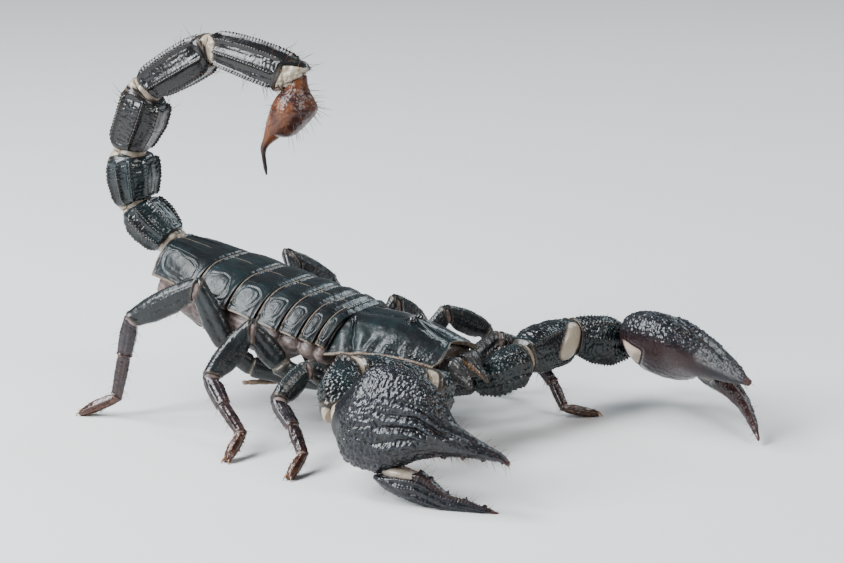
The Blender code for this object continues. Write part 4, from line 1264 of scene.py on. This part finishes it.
# Angles round a claw count from its rise, and are 90 in the middle of its outer face.
# A keel of the hand runs from one angle to another, between two distances in millimetres.
CORNER_RADIUS = 0.35
HAND_KEELS = ((58, 72, 10, 27), (84, 92, 8, 24), (112, 112, 9, 20), (138, 134, 9.5, 18.5))
FINGER_KEELS = ((34, 0), (62, 3), (98, 4), (138, 5))
SKIN_CUSHION = ((4.3, 2.4), (10.0, 3.9), (4.3, 10.2))
TOOTH_SPACING = 0.60
for side, sign in SIDES:
    outward = -sign
    salt = 300 if side == "right" else 330
    rings = solid_rings(f"{side}_claw_hand", centre_of(f"{side}_arm_patella"))
    direction, rise = claw_axes(side, rings)
    hand = add_limb(f"{side}_claw_hand", rings, rise, 215, 280, 0.016)
    face = hand.angle * outward
    outer = step(np.cos(np.radians(face - 90)), -0.50, -0.05)
    mm_along = hand.run / MM
    palm = step(mm_along, 1.5, 4.0)
    finger_part = step(mm_along, 17.5, 21.5)
    patch = ripples(hand.grid, 4.0 * MM, salt)
    grains = pebbles(hand.grid, (0.62 if side == "right" else 0.74) * MM, salt + 1)
    fine = pebbles(hand.grid, 0.34 * MM, salt + 2)
    big = pebbles(hand.grid, 0.95 * MM, salt + 3)
    lower = close_to(np.abs(face), 180, 48)
    sparse = lower * step(mm_along, 15, 11)
    amount = outer * palm * (1 - (0.55 if side == "right" else 0.2) * finger_part)
    lift = amount * (0.23 * grains * (1 - 0.3 * sparse) + 0.06 * fine + 0.30 * big * sparse)
    keels = 0.0
    grooves = 0.0
    for start, end, first, last in HAND_KEELS:
        share = np.clip((mm_along - first) / (last - first), 0, 1)
        target = start + (end - start) * share
        across = np.radians(face - target) * hand.radius + 0.16 * MM * patch
        line = step(mm_along, first, first + 2.5) * step(mm_along, last, last - 2.0)
        keels = np.maximum(keels, line * close_to(across, 0, 0.40 * MM))
        grooves = np.maximum(grooves, line * close_to(across, -0.95 * MM, 0.36 * MM))
    lift = lift + keels * (0.26 + 0.16 * fine) - 0.38 * grooves
    rows_of_beads = strongest(close_to(np.radians(face - target) * hand.radius, 0, 0.17 * MM)
                              for target in (20, 55, 100, 150))
    small_beads = waves(mm_along / 0.44 + 0.5 * patch)
    lift = lift + 0.11 * rows_of_beads * small_beads * finger_part * outer
    bite = close_to(hand.from_angle(180), 0, 9) * step(mm_along, 17.6, 19.0)
    bite = bite * step(mm_along, 32.4, 31.6)
    tooth = waves(mm_along / TOOTH_SPACING)
    large = np.maximum(close_to(mm_along, 21.5, 0.5), close_to((mm_along - 19.4) % 3.6, 1.8, 0.32))
    lift = lift + bite * (0.18 * tooth + 0.46 * large)
    collar = close_to(mm_along, 1.15, 0.45)
    skin_end = 0.9 * step(np.cos(np.radians(hand.from_angle(150 * outward))), -0.2, 0.6)
    bare = step(mm_along, skin_end, skin_end - 0.3) * (skin_end > 0.1)
    if side == "left":
        # The open claw bares a three-cornered cushion of skin on the hand's inner face.
        inside = wedge(mm_along, 0.12 * hand.angle, SKIN_CUSHION)
        bare = np.maximum(bare, step(inside, -0.05, 0.15))
        lift = lift + 0.75 * step(inside, -0.2, 1.5) - 0.20 * close_to(inside, -0.30, 0.22)
    lift = lift + 0.14 * collar - 0.30 * bare - 0.3 * step(mm_along, 0.4, 0.0)
    uneven = 0.10 * patch + 0.05 * ripples(hand.grid, 1.2 * MM, salt + 4)
    lift = lift + uneven * (1 - 0.6 * finger_part) + 0.02 * ripples(hand.grid, 0.45 * MM, salt + 5)
    hand.lift(lift)
    hand.grid = hand.grid - rise * 0.8 * MM * (step(mm_along, 30.6, 33.6) ** 2)[..., None]
    red = (1 - outer) * palm * step(mm_along, 26, 18) * (0.75 if side == "left" else 0.45)
    red = np.maximum(red, 0.8 * step(mm_along, 31.6, 33.2))
    tan = np.clip(0.12 * step(mm_along, 32.0, 33.2) + 0.25 * bite * tooth, 0, 1)
    # The relief value here paints that pearly sheen on the grain and keel tops.
    piece = add_tube(f"{side}_hand", hand.grid, CLAW_SHELL,
                     {"relief_shading": amount * np.maximum(grains, keels), "red": red, "tan": tan,
                      "pale": bare, "satin": finger_part * (side == "left")}, 0.35 * MM)
    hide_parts(f"{side}_claw_hand")

    rings = sections(f"{side}_claw_finger", direction, rise, np.linspace(0.01, 0.995, 34), 64)
    finger = add_limb(f"{side}_claw_finger", even_out(rings), rise, 160, 100, 0.022)
    face = finger.angle * outward
    mm_along = finger.run / MM
    outer = step(np.cos(np.radians(face - 90)), -0.5, 0.0)
    body = step(mm_along, 0.3, 1.6) * step(finger.left, 0.3 * MM, 1.6 * MM)
    grains = pebbles(finger.grid, 0.50 * MM, salt + 6)
    beads = waves(mm_along / 0.55)
    rims = 0.0
    gutters = 0.0
    for target, start in FINGER_KEELS:
        across = np.radians(face - target) * finger.radius
        line = step(mm_along, start, start + 1.5)
        rims = np.maximum(rims, line * close_to(across, 0, 0.26 * MM))
        gutters = np.maximum(gutters, line * close_to(across, 0.75 * MM, 0.34 * MM))
    bite = close_to(finger.from_angle(0), 0, 13) * step(mm_along, 6.6, 7.6)
    tooth = waves(mm_along / TOOTH_SPACING)
    large = np.maximum(close_to(mm_along, 8.0, 0.5), close_to((mm_along - 8.2) % 3.4, 1.7, 0.3))
    lip = close_to(finger.from_angle(0), 0, 34) * step(mm_along, 6.6, 5.4)
    grain_rise = 0.20 if side == "left" else 0.10
    lift = body * (grain_rise * grains * outer * (1 - rims) + 0.26 * rims * (0.7 + 0.3 * beads)
                   - 0.26 * gutters + bite * (0.18 * tooth + 0.55 * large) - 0.30 * lip)
    lift = lift + 0.06 * ripples(finger.grid, 1.0 * MM, salt + 7) * body
    finger.lift(lift)
    finger.grid[..., 2] = np.maximum(finger.grid[..., 2], 0.02 * MM)
    pinkish = close_to(face, 38, 22) * (mm_along > 5) * beads
    red = np.maximum(0.8 * step(finger.left, 2.4 * MM, 0.4 * MM), 0.25 * (1 - outer) * body)
    if side == "left":
        red = np.maximum(red, 0.75 * body * step(mm_along, 4.0, 9.0))
    tan = np.clip(0.14 * pinkish * body + 0.15 * step(finger.left, 1.0 * MM, 0.2 * MM), 0, 1)
    # The relief value here paints that pearly sheen on the grain tops.
    piece = add_tube(f"{side}_moving_finger", finger.grid, CLAW_SHELL,
                     {"relief_shading": grains * outer * body, "red": red, "tan": tan,
                      "pale": 0.2 * lip * body}, 0.15 * MM)
    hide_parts(f"{side}_claw_finger")

    # The pink-cream skin bulges out of the hinge, between the hand and the moving finger.
    hinge_low = finger.grid[int(0.10 * len(finger.grid))].mean(axis=0)
    hinge_high = finger.grid[int(0.30 * len(finger.grid))].mean(axis=0)
    length = np.dot(hinge_high - hinge_low, direction)
    run = np.linspace(-0.45, 1.35, 46)[:, None, None]
    swell = np.sqrt(np.clip(1 - ((run - 0.45) / 0.92) ** 2, 0.001, 1))
    turn = (np.arange(48) * 2 * math.pi / 48)[None, :, None]
    sideways = np.cross(direction, rise)
    middle = hinge_low + direction * length * run + rise * 1.75 * MM
    skin_grid = (middle + sideways * np.cos(turn) * 1.75 * MM * swell
                 + rise * np.sin(turn) * 1.15 * MM * swell)
    uneven = 0.06 * MM * ripples(skin_grid, 1.2 * MM, salt + 8)
    skin_grid = skin_grid + unit(skin_grid - middle) * uneven[..., None]
    skin_piece = add_tube(f"{side}_claw_hinge_skin", skin_grid, JOINT_SKIN, {"relief_shading": 0.5}, 0.02 * MM)


# ---------------------------------------------------------------- jaws
# Two short jaws stand side by side under the front of the shield.  Each is a glossy black
# drum with a fixed tooth and a bigger moving tooth, golden brown along their edges.
def jaw_finish():
    jaw = Finish("jaw_shell", IOR=1.56)
    clouds = jaw.noise(1.5 * MM, 3)
    # The pale grey clouds in the black are a painted pearly sheen, placed at random.
    dark = jaw.mix(clouds, rgb(0.008, 0.008, 0.009), rgb(0.050, 0.047, 0.045))
    edge = jaw.mix(clouds, rgb(0.100, 0.046, 0.018), rgb(0.230, 0.130, 0.062))
    jaw.feed("Base Color", jaw.mix(jaw.painted("tan"), dark, edge))
    jaw.feed("Roughness", jaw.stretch(clouds, 0.3, 0.8, 0.20, 0.34))
    jaw.feed("Normal", jaw.bump(jaw.noise(0.1 * MM, 3), 0.014 * MM, 0.5))
    return jaw.material


JAW_SHELL = jaw_finish()
TOOTH_ROWS = 60
for side, sign in SIDES:
    salt = 400 if side == "right" else 420
    rings = solid_rings(f"chelicera_{side}", centre_of("head_underside"))
    drum = Limb(rings, BACK_UP, 90, 100, 0.06)
    rib = drum.keel(40 * sign, 0.25 * MM) + drum.keel(-50 * sign, 0.25 * MM)
    ring = close_to(drum.share, 0.34, 0.04)
    drum.lift(0.18 * ring * step(np.abs(drum.angle), 150, 110)
              + 0.16 * rib * step(drum.share, 0.30, 0.45) * step(drum.share, 0.62, 0.5)
              + 0.08 * ripples(drum.grid, 0.9 * MM, salt)
              + 0.15 * pebbles(drum.grid, 0.80 * MM, salt + 1) - 0.2 * step(drum.share, 0.05, 0))
    drum_middles = drum.grid.mean(axis=1, keepdims=True)
    narrow = (1 - 0.80 * step(drum.share, 0.50, 0.95))[..., None]
    drum.grid = drum_middles + (drum.grid - drum_middles) * narrow
    gold = np.clip(0.25 * ring * (np.abs(drum.angle) < 60), 0, 1)
    piece = add_tube(f"jaw_{side}", drum.grid, JAW_SHELL, {"tan": gold}, 0.5 * MM)
    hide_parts(f"chelicera_{side}")
    root = drum.grid[int(0.46 * len(drum.grid))].mean(axis=0)
    sideways = TO_LEFT * sign
    for tooth, apart, raised, length, width in (("fixed", -0.75, 1.1, 5.2, 1.40),
                                                ("moving", 0.85, 0.2, 5.5, 1.50)):
        foot = root + (sideways * apart + BACK_UP * raised) * MM
        out = BACK_FORWARD - (0.16 - 0.05 * apart) * BACK_UP - 0.08 * apart * sideways
        grid = hook_grid(foot, out, -BACK_UP - 0.25 * sideways * apart, length * MM, width * MM, 0.50,
                         TOOTH_ROWS, 40)
        share = np.linspace(0, 1, TOOTH_ROWS)[:, None]
        offset = unit(grid - grid.mean(axis=1, keepdims=True))
        facing = offset @ -sideways
        grooves = np.cos(np.arctan2(offset @ BACK_UP, facing) * 5)
        notches = waves(share * 6.5)
        inner_edge = step(facing, 0.72, 1.0)
        bumps = (0.13 * pebbles(grid, 0.8 * MM, salt + 2) + 0.08 * grooves * step(share, 0.05, 0.3)
                 + 0.20 * notches * inner_edge * step(share, 0.15, 0.3) * step(share, 1.0, 0.9))
        grid = grid + grid_normals(grid) * (MM * bumps)[..., None]
        gold = np.clip(0.85 * inner_edge + 0.3 * step(share, 0.88, 1.0), 0, 1)
        piece = add_tube(f"jaw_{side}_{tooth}_tooth", grid, JAW_SHELL, {"tan": gold}, 0.05 * MM)

# A dark wall closes the gap between the shield's underside and the jaws.  Its outline is a
# rounded square that follows the shield above, and its front is rounded off.
WALL_HALF, WALL_MIDDLE = 7.4 * MM, 4.0 * MM
UNDER_SHIELD, BELOW_MIDDLE = 0.85 * MM, 0.9 * MM
share = np.linspace(0, 1, 30)[:, None]
turn = (np.arange(96) * 2 * math.pi / 96)[None, :]
rounded = np.sqrt(1 - 0.97 * share ** 24)
wall_across, wall_up = (np.sign(part) * np.abs(part) ** 0.25 for part in (np.cos(turn), np.sin(turn)))
wall_forward = (12.5 + 7.4 * share) * MM
wall_left = wall_across * WALL_HALF * rounded
roof = shield_height(wall_forward, wall_left) - UNDER_SHIELD + WALL_MIDDLE
wall_above = np.where(wall_up > 0, roof, BELOW_MIDDLE) * wall_up * rounded - WALL_MIDDLE
wall_grid = on_back(wall_forward, wall_left, wall_above)
wall_grid = wall_grid + BACK_UP * (0.08 * MM * ripples(wall_grid, 0.9 * MM, 436))[..., None]
face_wall = add_tube("face_wall", wall_grid, JAW_SHELL,
                     {"tan": 0.15 + 0.1 * ripples(wall_grid, 1.0 * MM, 437)}, 0.2 * MM)


# ---------------------------------------------------------------- underside of the head
# The leg bases meet under the head in two rows, dark brown plates with deep seams between
# them and a small breast plate in the middle.
BELLY_SHELL = shell_finish("belly_shell", (0.014, 0.010, 0.009), (0.030, 0.020, 0.016), 0.30, 0.4)
BASE_SPACING = 4.2 * MM
rings = sections("head_underside", BACK_FORWARD, BACK_UP, np.linspace(0.004, 0.996, 40), 96)
chest = Limb(even_out(rings), BACK_UP, 96, 110, 0.02)
forward, left, _ = back_coordinates(chest.grid)
slanting = (forward - 0.55 * np.abs(left) + 40 * MM) % BASE_SPACING
seams = np.maximum(close_to(slanting, BASE_SPACING / 2, 0.24 * MM), close_to(left, 0, 0.25 * MM))
chest.lift(0.12 * (1 - seams) - 0.40 * seams + 0.08 * ripples(chest.grid, 1.2 * MM, 441)
           + 0.03 * ripples(chest.grid, 0.5 * MM, 442) - 0.12)
chest_piece = add_tube(
    "leg_bases", chest.grid, BELLY_SHELL,
    {"tan": 0.25 * close_to(seams, 0.4, 0.2), "pale": 0.35 * seams ** 2}, 0.3 * MM)
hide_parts("head_underside")


# ---------------------------------------------------------------- belly plates and combs
# Five smooth brown plates close the belly, each but the last with a slit-like air hole at
# either side.  In front of them two cream combs with long teeth point out and back.
BELLY_ROWS, BELLY_COLUMNS = 160, 110
BELLY_ANGLE = 2.30  # radians round from straight up, where the flank turns into the belly
belly = sections("trunk", -BACK_FORWARD, BACK_UP, np.linspace(0.30, 0.985, 60), 160)
belly = fill_along(belly, BELLY_ROWS, 0.02)
_, left, above = back_coordinates(belly)
around = np.arctan2(left, above - above.mean(axis=1, keepdims=True))
keep = np.where(np.abs(around.mean(axis=0)) > BELLY_ANGLE)[0]
belly = belly[:, keep[np.argsort(left[:, keep].mean(axis=0))]]
spots = np.linspace(0, belly.shape[1] - 1, BELLY_COLUMNS)
low = spots.astype(int).clip(0, belly.shape[1] - 2)
part = (spots - low)[None, :, None]
belly = belly[:, low] * (1 - part) + belly[:, low + 1] * part
beside = np.abs(np.linspace(-1, 1, BELLY_COLUMNS))[None, :]
borders = [int(place * (BELLY_ROWS - 1)) for place in np.linspace(0.0, 0.985, 6)]
for number, (first, last) in enumerate(zip(borders, borders[1:]), start=1):
    strip = belly[first:last]
    share = np.linspace(0, 1, len(strip))[:, None]
    rim = np.maximum(step(share, 0.88, 0.95), step(beside, 0.93, 0.97))
    slit = close_to(beside, 0.66, 0.06) * close_to(share, 0.5, 0.07) * (number < 5)
    lift = (0.22 + 0.10 * rim - 0.30 * slit - 0.15 * step(share, 0.1, 0.0)
            + 0.04 * ripples(strip, 1.1 * MM, 450 + number))
    down = unit(strip - (strip.mean(axis=1, keepdims=True) + BACK_UP * 7 * MM))
    outer = strip + down * (lift * MM)[..., None]
    inner = strip - down * 0.25 * MM
    plate = add_plate(f"belly_plate_{number}", outer, inner, BELLY_SHELL,
                      {"tan": 0.5 * rim, "pale": 0.4 * slit})

COMB = Finish("comb", IOR=1.45)
# The combs are cream, but their colour is painted a darker brown as shade, since they sit under the
# belly.
comb_cloud = COMB.noise(0.8 * MM, 3)
COMB.feed("Base Color", COMB.mix(comb_cloud, rgb(0.100, 0.066, 0.046), rgb(0.230, 0.170, 0.120)))
COMB.feed("Roughness", COMB.stretch(comb_cloud, 0.3, 0.8, 0.35, 0.55))
COMB.feed("Normal", COMB.bump(COMB.noise(0.12 * MM, 3), 0.02 * MM, 0.6))
COMB_ROWS, COMB_TEETH = 90, 15
for side, sign in SIDES:
    rings = solid_rings(f"pecten_{side}", (0.0, MIDDLE, 0.01))
    spine = Limb(rings, (0.0, 0.0, 1.0), COMB_ROWS, 48, 0.03)
    joints = close_to((spine.share * 6) % 1.0, 0.5, 0.07)
    spine.lift(0.05 * ripples(spine.grid, 0.6 * MM, 470) - 0.12 * joints)
    piece = add_tube(f"comb_{side}", spine.grid, COMB.material, {}, 0.1 * MM)
    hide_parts(f"pecten_{side}")
    middles = spine.grid.mean(axis=1)
    for tooth in range(COMB_TEETH):
        row = int((0.10 + 0.85 * tooth / (COMB_TEETH - 1)) * (COMB_ROWS - 1))
        along = unit(middles[min(row + 2, COMB_ROWS - 1)] - middles[row - 2])
        out = unit(np.array((-0.9, -0.25 * sign, -0.1)) - 0.3 * along)
        grid = hook_grid(middles[row] + out * 0.54 * MM, out, (0, 0, -1), 1.6 * MM, 0.20 * MM, 0.3,
                         12, 10)
        piece = add_tube(f"comb_{side}_tooth_{tooth + 1}", grid, COMB.material, {}, 0.03 * MM)


# ---------------------------------------------------------------- joint skins
# A short sleeve of smooth ivory skin bridges every joint between two hard pieces, tucked
# inside both of them and bulging a little where it shows.
def even_ring(ring, reference, axis, count):
    """A ring of points, from its own middle, read again at even angles round it."""
    middle = ring.mean(axis=0)
    offset = ring - middle
    angle = flat_angles(ring, middle, axis, middle + reference)
    order = np.argsort(angle)
    wanted = np.arange(count) * 2 * math.pi / count - math.pi
    parts = [np.interp(wanted, angle[order], offset[order, i], period=2 * math.pi) for i in range(3)]
    return np.stack(parts, axis=-1)


def add_sleeve(name, finish, first_limb, second_limb, tuck, snug, bulge, salt, lumps=0.0):
    """A skin tube from inside the end of one limb to inside the start of the next."""
    end, start = limbs[first_limb].grid, limbs[second_limb].grid
    back = end[-1].mean(axis=0) - unit(end[-1].mean(axis=0) - end[-9].mean(axis=0)) * tuck
    ahead = start[0].mean(axis=0) + unit(start[8].mean(axis=0) - start[0].mean(axis=0)) * tuck
    axis = unit(ahead - back)
    reference = np.cross(axis, (0.37, 0.21, 0.9))
    rows, columns = (44, 80) if lumps else (20, 28)
    first_ring = even_ring(end[-4], reference, axis, columns)
    second_ring = even_ring(start[3], reference, axis, columns)
    share = np.linspace(0, 1, rows)[:, None, None]
    size = snug + bulge * np.sin(np.pi * share)
    grid = back + (ahead - back) * share + (first_ring * (1 - share) + second_ring * share) * size
    wave = 0.5 + 0.5 * ripples(grid, 0.8 * MM, salt)
    wave = wave + lumps * (pebbles(grid, 1.25 * MM, salt) - 0.4)
    grid = grid + grid_normals(grid) * (0.08 * MM * wave)[..., None]
    # The same waves and lumps set the skin's colour: painted light on their crests, painted shade
    # between them.
    sleeve = add_tube(name, grid, finish, {"relief_shading": wave}, 0.05 * MM)


# Each joint: the piece before it, the piece after it, the joint's name, and for a leg how
# far in millimetres the skin is tucked into both.
LEG_JOINTS = (("femur", "patella", "knee", 0.5), ("patella", "shin", "shin", 0.4),
              ("shin", "ankle", "ankle", 0.3), ("ankle", "foot", "heel", 0.3))
ARM_JOINTS = (("arm_base", "arm_femur", "shoulder", JOINT_SKIN),
              ("arm_femur", "arm_patella", "elbow", ELBOW_SKIN),
              ("arm_patella", "claw_hand", "wrist", JOINT_SKIN))
for number in range(1, 5):
    add_sleeve(f"tail_skin_{number}", JOINT_SKIN, f"tail_segment_{number}",
               f"tail_segment_{number + 1}", 0.8 * MM, 0.78, 0.05, 500 + number)
add_sleeve("tail_skin_5", JOINT_SKIN, "tail_segment_5", "telson_vesicle", 0.7 * MM, 0.86, 0.16, 506,
           lumps=5.0)
for side, _ in SIDES:
    for number in range(1, 5):
        leg = f"{side}_leg_{number}"
        for first, second, joint, tuck in LEG_JOINTS:
            add_sleeve(f"{leg}_{joint}_skin", KNEE_SKIN, f"{leg}_{first}", f"{leg}_{second}",
                       tuck * MM, 0.80, 0.06, 510)
    for first, second, joint, finish in ARM_JOINTS:
        add_sleeve(f"{side}_{joint}_skin", finish, f"{side}_{first}", f"{side}_{second}",
                   0.8 * MM, 0.80, 0.06, 550)

# The tail's root comes out of the last back plate through a ring of knobbly skin.
root_limb = limbs["tail_segment_1"].grid
root_axis = unit(root_limb[8].mean(axis=0) - root_limb[0].mean(axis=0))
root_ring = even_ring(root_limb[2], np.cross(root_axis, (0.0, 1.0, 0.2)), root_axis, 96)
share = np.linspace(0, 1, 40)[:, None, None]
root_grid = (root_limb[0].mean(axis=0) + root_axis * MM * (1.0 - 4.4 * share)
             + root_ring * (0.86 + 0.20 * np.sin(np.pi * share ** 0.8) - 0.10 * share))
knobs = pebbles(root_grid, 1.3 * MM, 560)
root_grid = root_grid + grid_normals(root_grid) * (0.30 * MM * knobs)[..., None]
# The skin is painted lighter on the knobs' tops and darker between them: painted light and shade.
root_skin = add_tube("tail_root_skin", root_grid, JOINT_SKIN, {"relief_shading": 0.7 * knobs}, 0.1 * MM)


# ---------------------------------------------------------------- bristles
# Stiff red-brown sensory hairs stand singly on the tail's end, the claws, the arms' hips
# and forearms, and the legs.  They are solid tapering spikes, rooted in the shell.
BRISTLE = Finish("bristle", IOR=1.5)
bristle_cloud = BRISTLE.noise(2.0 * MM, 2)
BRISTLE.feed("Base Color", BRISTLE.mix(bristle_cloud, rgb(0.030, 0.010, 0.005),
                                       rgb(0.160, 0.060, 0.025)))
BRISTLE.feed("Roughness", BRISTLE.stretch(bristle_cloud, 0.3, 0.8, 0.3, 0.45))


def add_bristles(name, limb, chosen, lengths, lean, width, salt):
    """One mesh of bristles at the chosen rows and columns of a limb's grid."""
    rng = np.random.default_rng(salt)
    rows, columns = chosen
    count = len(rows)
    roots = limb.grid[rows, columns]
    normals = limb.normals[rows, columns]
    onward = unit(limb.grid[np.minimum(rows + 1, len(limb.grid) - 1), columns]
                  - limb.grid[np.maximum(rows - 1, 0), columns])
    out = unit(normals + lean * onward + 0.22 * rng.normal(size=(count, 3)))
    bend = unit(onward + 0.3 * rng.normal(size=(count, 3)))
    reach = (lengths[0] + (lengths[1] - lengths[0]) * rng.random(count))[:, None] * MM
    side = unit(np.cross(out, bend))
    other = np.cross(out, side)
    levels = np.array((-0.06, 0.25, 0.6, 1.0))
    thick = np.array((1.0, 0.85, 0.55, 0.08)) * width * MM
    points = []
    for level, girth in zip(levels, thick):
        middle = roots + out * reach * level + bend * reach * 0.16 * level ** 2
        for corner in range(3):
            turn = corner * 2 * math.pi / 3
            points.append(middle + (side * math.cos(turn) + other * math.sin(turn)) * girth)
    points = np.stack(points, axis=1)
    points[..., 2] = np.maximum(points[..., 2], 0.01 * MM)
    faces = np.arange(count)[:, None, None] * points.shape[1] + np.array(tube_faces(4, 3))
    around, along = np.tile([0.0, 0.5, 1.0], 4), np.repeat([0.0, 0.33, 0.67, 1.0], 3)
    spots = np.stack([columns / limb.grid.shape[1], rows / len(limb.grid)], axis=-1)
    spots = 0.01 + 0.97 * spots[:, None, :] + 0.003 * np.stack([around, along], axis=-1)
    mesh = bpy.data.meshes.new(name)
    mesh.from_pydata(points.reshape(-1, 3).tolist(), [], faces.reshape(-1, 4).tolist())
    mesh.materials.append(BRISTLE.material)
    add_map(mesh, corner_spots(mesh, spots.reshape(-1, 2)))
    stand(name, mesh)


def choose(limb, density, hairs, salt):
    """About so many random grid places, spread by density."""
    rng = np.random.default_rng(salt)
    density = np.broadcast_to(density * hairs / density.sum(), limb.grid.shape[:2])
    return np.nonzero(rng.random(density.shape) < density)


for number, hairs in ((3, 14), (4, 30), (5, 60)):
    limb = limbs[f"tail_segment_{number}"]
    keel_spots = np.maximum(close_to(np.abs(limb.angle), 40, 12), close_to(np.abs(limb.angle), 134, 20))
    density = keel_spots * step(limb.share, 0.15, 0.9)
    add_bristles(f"tail_bristles_{number}", limb, choose(limb, density, hairs, 600 + number),
                 (1.6, 3.8), 0.35, 0.060, 610 + number)
limb = limbs["telson_vesicle"]
density = step(limb.share, 0.05, 0.2) * step(limb.share, 0.95, 0.8) * (np.abs(limb.angle) > 60)
add_bristles("bulb_bristles", limb, choose(limb, density, 70, 620), (1.4, 3.6), 0.2, 0.052, 621)
# Each part of a leg, with about how many bristles and the longest one in millimetres.
LEG_HAIRS = (("femur", 26, 1.2), ("patella", 28, 1.4), ("shin", 26, 2.2), ("ankle", 30, 2.0),
             ("foot", 60, 0.9))
for side, sign in SIDES:
    salt = 640 if side == "right" else 660
    limb = limbs[f"{side}_claw_hand"]
    face = limb.angle * -sign
    along = limb.run / MM
    rim_hairs = close_to(np.abs(face), 180, 28) * step(along, 17, 20) * 3
    edge_hairs = close_to(face, 10, 26) * step(along, 4, 10)
    density = rim_hairs + edge_hairs + 0.18 * step(along, 8, 20)
    add_bristles(f"{side}_hand_bristles", limb, choose(limb, density, 130, salt),
                 (0.6, 2.3), 0.35, 0.036, salt + 1)
    limb = limbs[f"{side}_claw_finger"]
    density = close_to(limb.from_angle(0), 0, 40) * step(limb.run / MM, 5, 8) + 0.15
    add_bristles(f"{side}_finger_bristles", limb, choose(limb, density, 70, salt + 2),
                 (0.5, 2.2), 0.35, 0.036, salt + 3)
    limb = limbs[f"{side}_arm_patella"]
    add_bristles(f"{side}_forearm_bristles", limb, choose(limb, np.ones_like(limb.angle), 50, salt + 4),
                 (0.6, 1.8), 0.3, 0.032, salt + 5)
    for number in range(1, 5):
        for part, hairs, longest in LEG_HAIRS:
            limb = limbs[f"{side}_leg_{number}_{part}"]
            underside = 0.35 + 0.65 * (np.abs(limb.angle) > 110)
            density = underside * step(limb.share, 0.1, 0.3)
            add_bristles(f"{side}_leg_{number}_{part}_bristles", limb,
                         choose(limb, density, hairs, salt + 6 + number),
                         (0.35, longest), 0.45, 0.036, salt + 10 + number)
        limb = limbs[f"{side}_leg_{number}_foot"]
        density = step(np.abs(limb.angle), 95, 125) * step(limb.share, 0.05, 0.2)
        add_bristles(f"{side}_leg_{number}_foot_spines", limb,
                     choose(limb, density, 30, salt + 30 + number),
                     (0.35, 0.6), 0.6, 0.085, salt + 40 + number)
for side, sign in SIDES:
    limb = limbs[f"{side}_arm_base"]
    density = step(limb.angle * sign, -20, -60) * step(limb.share, 0.3, 0.5)
    add_bristles(f"{side}_hip_bristles", limb, choose(limb, density, 60, 700 + sign),
                 (0.8, 2.4), 0.3, 0.040, 710 + sign)
